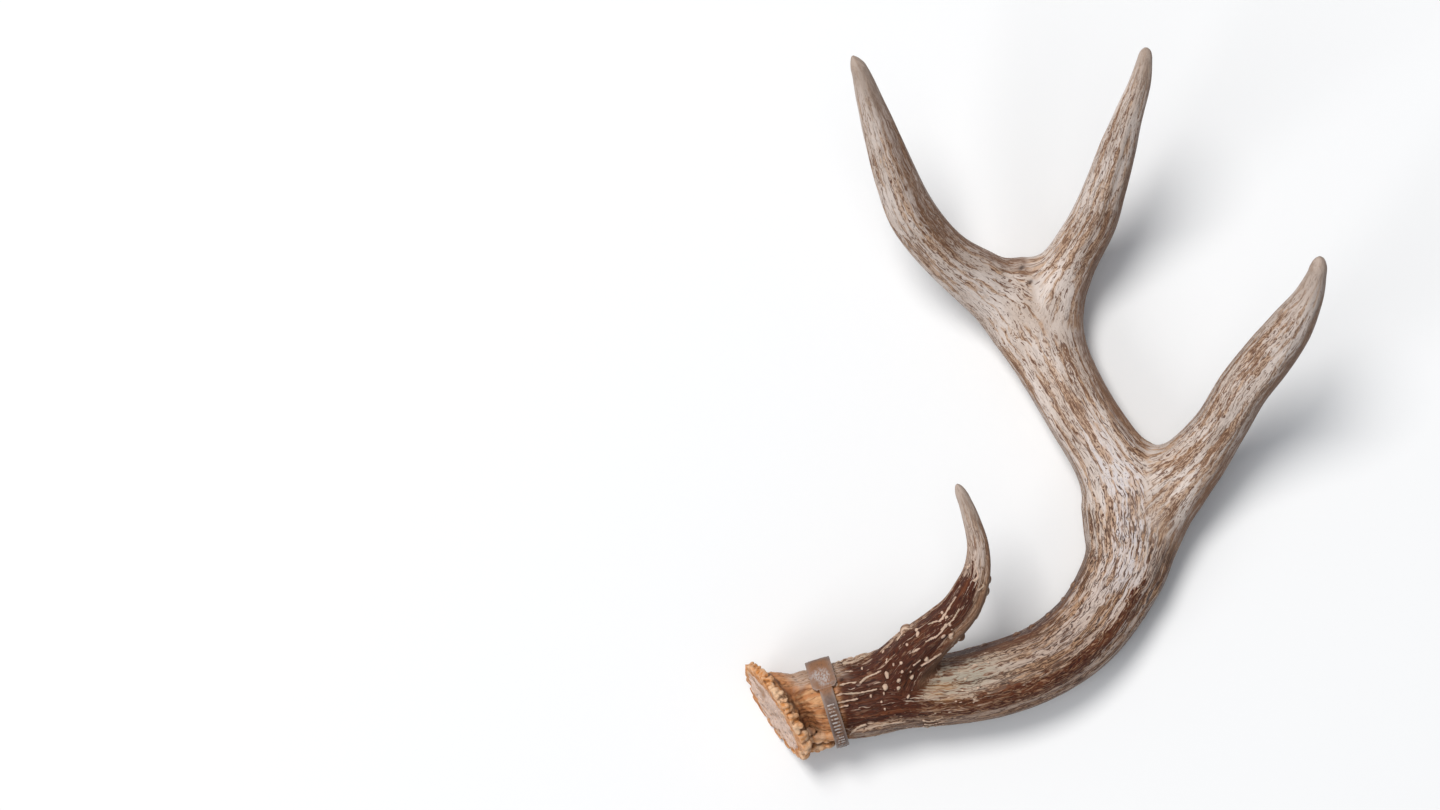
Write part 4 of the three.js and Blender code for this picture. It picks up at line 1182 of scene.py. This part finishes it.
# the identification band, measured across the neck and by height in its own plane
band = dict(
    centre=(-85.9, -132.3), across=(0.292, -0.956), thickness=1.3, corner=0.28,
    strapWidth=6.0, headWidth=11.4, plateMiddle=(-14.0, 40.6),
    strap=[(-9.9, 42.3), (-5.0, 44.9), (0.8, 45.8), (7.4, 44.4), (13.2, 40.4), (17.6, 34.6),
           (19.2, 26.5), (18.6, 18.4), (15.8, 11.4), (10.8, 6.6), (6.4, 4.2), (1.6, 2.2)],
    head=[(-8.6, 43.2), (-14.0, 40.0), (-19.4, 36.2), (-20.8, 33.6), (-20.4, 30.0), (-19.6, 22.4),
          (-16.8, 13.6), (-11.2, 7.4), (-3.6, 4.8), (4.2, 4.4), (12.0, 6.0)],
    ladder=dict(first=0.46, step=0.036, count=8, width=8.4, long=0.8, tall=0.45),
    ticks=dict(first=0.15, step=0.0225, count=20, width=3.3, long=0.75, tall=0.22),
    slot=dict(at=(5.9, 4.6), long=2.6, width=7.2),
)
bandColours = dict(
    tan=(0.225, 0.094, 0.037), worn=(0.195, 0.098, 0.051), grey=(0.37, 0.33, 0.31),
    dirt=(0.055, 0.027, 0.017), strap=(0.100, 0.044, 0.023), scuff=(0.40, 0.36, 0.345),
)


def curveThrough(points, t):
    # an even spline through the points, t from 0 to 1, and its direction
    rows = np.array(points)
    place = min(t, 1 - 1e-9) * (len(rows) - 1)
    i, w = int(place), place - int(place)
    p0, p1, p2, p3 = rows[max(0, i - 1)], rows[i], rows[i + 1], rows[min(len(rows) - 1, i + 2)]
    m1, m2 = 0.5 * (p2 - p0), 0.5 * (p3 - p1)
    spot = p1 + m1 * w + (3 * (p2 - p1) - 2 * m1 - m2) * w ** 2 + (2 * (p1 - p2) + m1 + m2) * w ** 3
    way = m1 + 2 * (3 * (p2 - p1) - 2 * m1 - m2) * w + 3 * (2 * (p1 - p2) + m1 + m2) * w ** 2
    return spot, unit(way)


def inBandPlane(spot, wide):
    across = unit(np.array([*band["across"], 0.0]))
    sideways = np.cross(across, (0, 0, 1))
    place = np.array([*band["centre"], 0.0]) + across * spot[0] + sideways * wide
    return Vector((place + (0, 0, spot[1]) + partShift) * mm)


def strip(bm, points, width, low=0.0, high=1.0, top=0.0, thick=None, across=4, along=72, snub=0.0):
    # a grid laid along the path at the height of its outer face, then given its thickness inwards
    thick = band["thickness"] if thick is None else thick
    sheet = bmesh.new()
    bmesh.ops.create_grid(sheet, x_segments=along, y_segments=across, size=0.5)
    for v in sheet.verts:
        spot, way = curveThrough(points, low + (high - low) * (v.co.x + 0.5))
        outward = np.array([-way[1], way[0]])
        if points is band["head"]:
            outward = -outward
        narrow = 1 - 0.3 * max(0.0, 1 - (v.co.x + 0.5) / snub) if snub else 1
        v.co = inBandPlane(spot + outward * (top + band["thickness"] / 2), v.co.y * width * narrow)
    bmesh.ops.recalc_face_normals(sheet, faces=sheet.faces)
    middle = inBandPlane((0, 24), 0)
    probe = sheet.faces[:][len(sheet.faces) // 2]
    if probe.normal.dot(probe.calc_center_median() - middle) < 0:
        bmesh.ops.reverse_faces(sheet, faces=sheet.faces)
    bmesh.ops.solidify(sheet, geom=sheet.faces[:], thickness=thick * mm)
    bmesh.ops.recalc_face_normals(sheet, faces=sheet.faces)
    edges = [e for e in sheet.edges if len(e.link_faces) == 2 and e.calc_face_angle(0) > 1.0]
    corner = min(band["corner"], thick * 0.35) * mm
    bmesh.ops.bevel(
        sheet, geom=edges, offset=corner, segments=2, profile=0.5, affect="EDGES", material=-1)
    mesh = bpy.data.meshes.new("strip")
    sheet.to_mesh(mesh)
    sheet.free()
    bm.from_mesh(mesh)
    bpy.data.meshes.remove(mesh)


def bandObject(name, build):
    bm = bmesh.new()
    build(bm)
    mesh = bpy.data.meshes.new(name)
    bm.to_mesh(mesh)
    bm.free()
    made = bpy.data.objects.new(name, mesh)
    scene.collection.objects.link(made)
    return made


def slotBlock(bm):
    slot = band["slot"]
    bmesh.ops.create_cube(bm, size=1)
    for v in bm.verts:
        spot = (slot["at"][0] + v.co.x * slot["long"], slot["at"][1] + v.co.z * 6)
        v.co = inBandPlane(spot, v.co.y * slot["width"])
    bmesh.ops.recalc_face_normals(bm, faces=bm.faces)


def ridgesOn(bm, points, row):
    for i in range(row["count"]):
        low = row["first"] + row["step"] * i
        here = curveThrough(points, low)[0]
        there = curveThrough(points, low + 0.01)[0]
        span = row["long"] / (np.linalg.norm(there - here) / 0.01)
        strip(bm, points, row["width"], low, low + span, top=row["tall"], thick=0.25 + row["tall"],
              across=1, along=2)


def makeBandMaterial():
    c = SimpleNamespace(**bandColours)
    look, n, shader = newLook("wornBandPlastic")
    place = n.put("ShaderNodeTexCoord").outputs["Object"]
    cloud = n.noise(place, 180, 3, 0.6)
    fine = n.noise(place, 900, 3, 0.6)
    scratch = n.noise(n.scaled(place, 1, 0.25, 1), 1500, 2, 0.6)
    edge = n.step(n.put("ShaderNodeNewGeometry").outputs["Pointiness"], 0.505, 0.56)
    plate = n.put("ShaderNodeVectorMath", operation="DISTANCE")
    n.feed(place, plate.inputs[0])
    plate.inputs[1].default_value = inBandPlane(band["plateMiddle"], 0.2)
    near = plate.outputs["Value"]
    colour = n.mix(n.step(near, 0.0075, 0.0105), c.tan, c.strap)
    colour = n.mix(n.step(cloud, 0.42, 0.68, 0, 0.7), colour, c.worn)
    colour = n.mix(n.times(n.step(scratch, 0.56, 0.66), 0.4), colour, c.dirt)
    colour = n.mix(n.times(n.step(cloud, 0.46, 0.34), 0.5), colour, c.dirt)
    colour = n.mix(n.times(edge, 0.5), colour, c.grey)
    # the plate's middle is scuffed
    ragged = n.plus(near, n.times(n.minus(cloud, 0.5), 0.009))
    scuff = n.times(n.step(ragged, 0.0024, 0.0060, 0.8, 0), n.step(scratch, 0.40, 0.56, 0.15, 1))
    colour = n.mix(scuff, colour, c.scuff)
    colour = n.mix(n.read("tick"), colour, n.mix(n.step(fine, 0.42, 0.6), c.grey, c.worn))
    n.feed(colour, shader.inputs["Base Color"])
    n.feed(n.plus(0.38, n.times(fine, 0.3)), shader.inputs["Roughness"])
    n.raisedBy(n.plus(fine, scratch), 0.5, 0.2 * mm, shader)
    return look


def makeBand():
    head = bandObject(
        "headStrip", lambda bm: strip(bm, band["head"], band["headWidth"], along=120, snub=0.035))
    strap = bandObject("strapStrip", lambda bm: strip(bm, band["strap"], band["strapWidth"]))
    slot = bandObject("slotBlock", slotBlock)
    for other, kind in ((slot, "DIFFERENCE"), (strap, "UNION")):
        join = head.modifiers.new(kind.lower(), "BOOLEAN")
        join.object = other
        join.operation = kind
        join.solver = "EXACT"
    mesh = bpy.data.meshes.new_from_object(head.evaluated_get(bpy.context.evaluated_depsgraph_get()))
    bm = bmesh.new()
    bm.from_mesh(mesh)
    tick = bm.verts.layers.float.new("tick")
    plain = len(bm.verts)
    ridgesOn(bm, band["head"], band["ladder"])
    ridgesOn(bm, band["strap"], band["ticks"])
    bm.verts.ensure_lookup_table()
    for v in bm.verts[plain:]:
        v[tick] = 1.0
    bmesh.ops.dissolve_degenerate(bm, dist=1e-7, edges=bm.edges)
    for face in bm.faces:
        face.smooth = True
    for edge in bm.edges:
        edge.smooth = not (len(edge.link_faces) == 2 and edge.calc_face_angle(0) > 0.6)
    done = bpy.data.meshes.new("tagBand")
    bm.to_mesh(done)
    bm.free()
    for spare in (head, strap, slot):
        bpy.data.objects.remove(spare)
    done.materials.append(makeBandMaterial())
    piece = bpy.data.objects.new("tagBand", done)
    scene.collection.objects.link(piece)
    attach(piece, "root")
    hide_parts("tag_band")
    done.calc_loop_triangles()
    print("tagBand", len(done.loop_triangles), "triangles")


# growing and parting
boneLook = makeBoneMaterial()
fineVoxel, voxel = ((bone["fineVoxel"], bone["voxel"]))
stemMesh = dress(plainBone(("brow",), fineVoxel, bone["fineEnd"]), ("beam", "brow"))
print("burr, stem and brow tine shaped,", len(stemMesh.vertices), "points")
wholeMesh = dress(plainBone(tines, voxel), ("beam",) + tines)
print("beam and upper tines shaped,", len(wholeMesh.vertices), "points")
parts = partBone(stemMesh, ("beam", "brow"), ("base_stem", "brow_tine"))
parts.update(partBone(wholeMesh, ("beam",) + tines, tuple(parting["inside"])[2:]))
pieceNames = ("burrAndStem", "browTine", "mainBeam", "secondTine", "upperBeam", "thirdTine", "beamTip")
for name, (node, bm) in zip(pieceNames, parts.items()):
    finishPiece(name, bm, boneLook, node)
print("bone parted into", len(parts), "pieces")
makeBand()
print("band made")
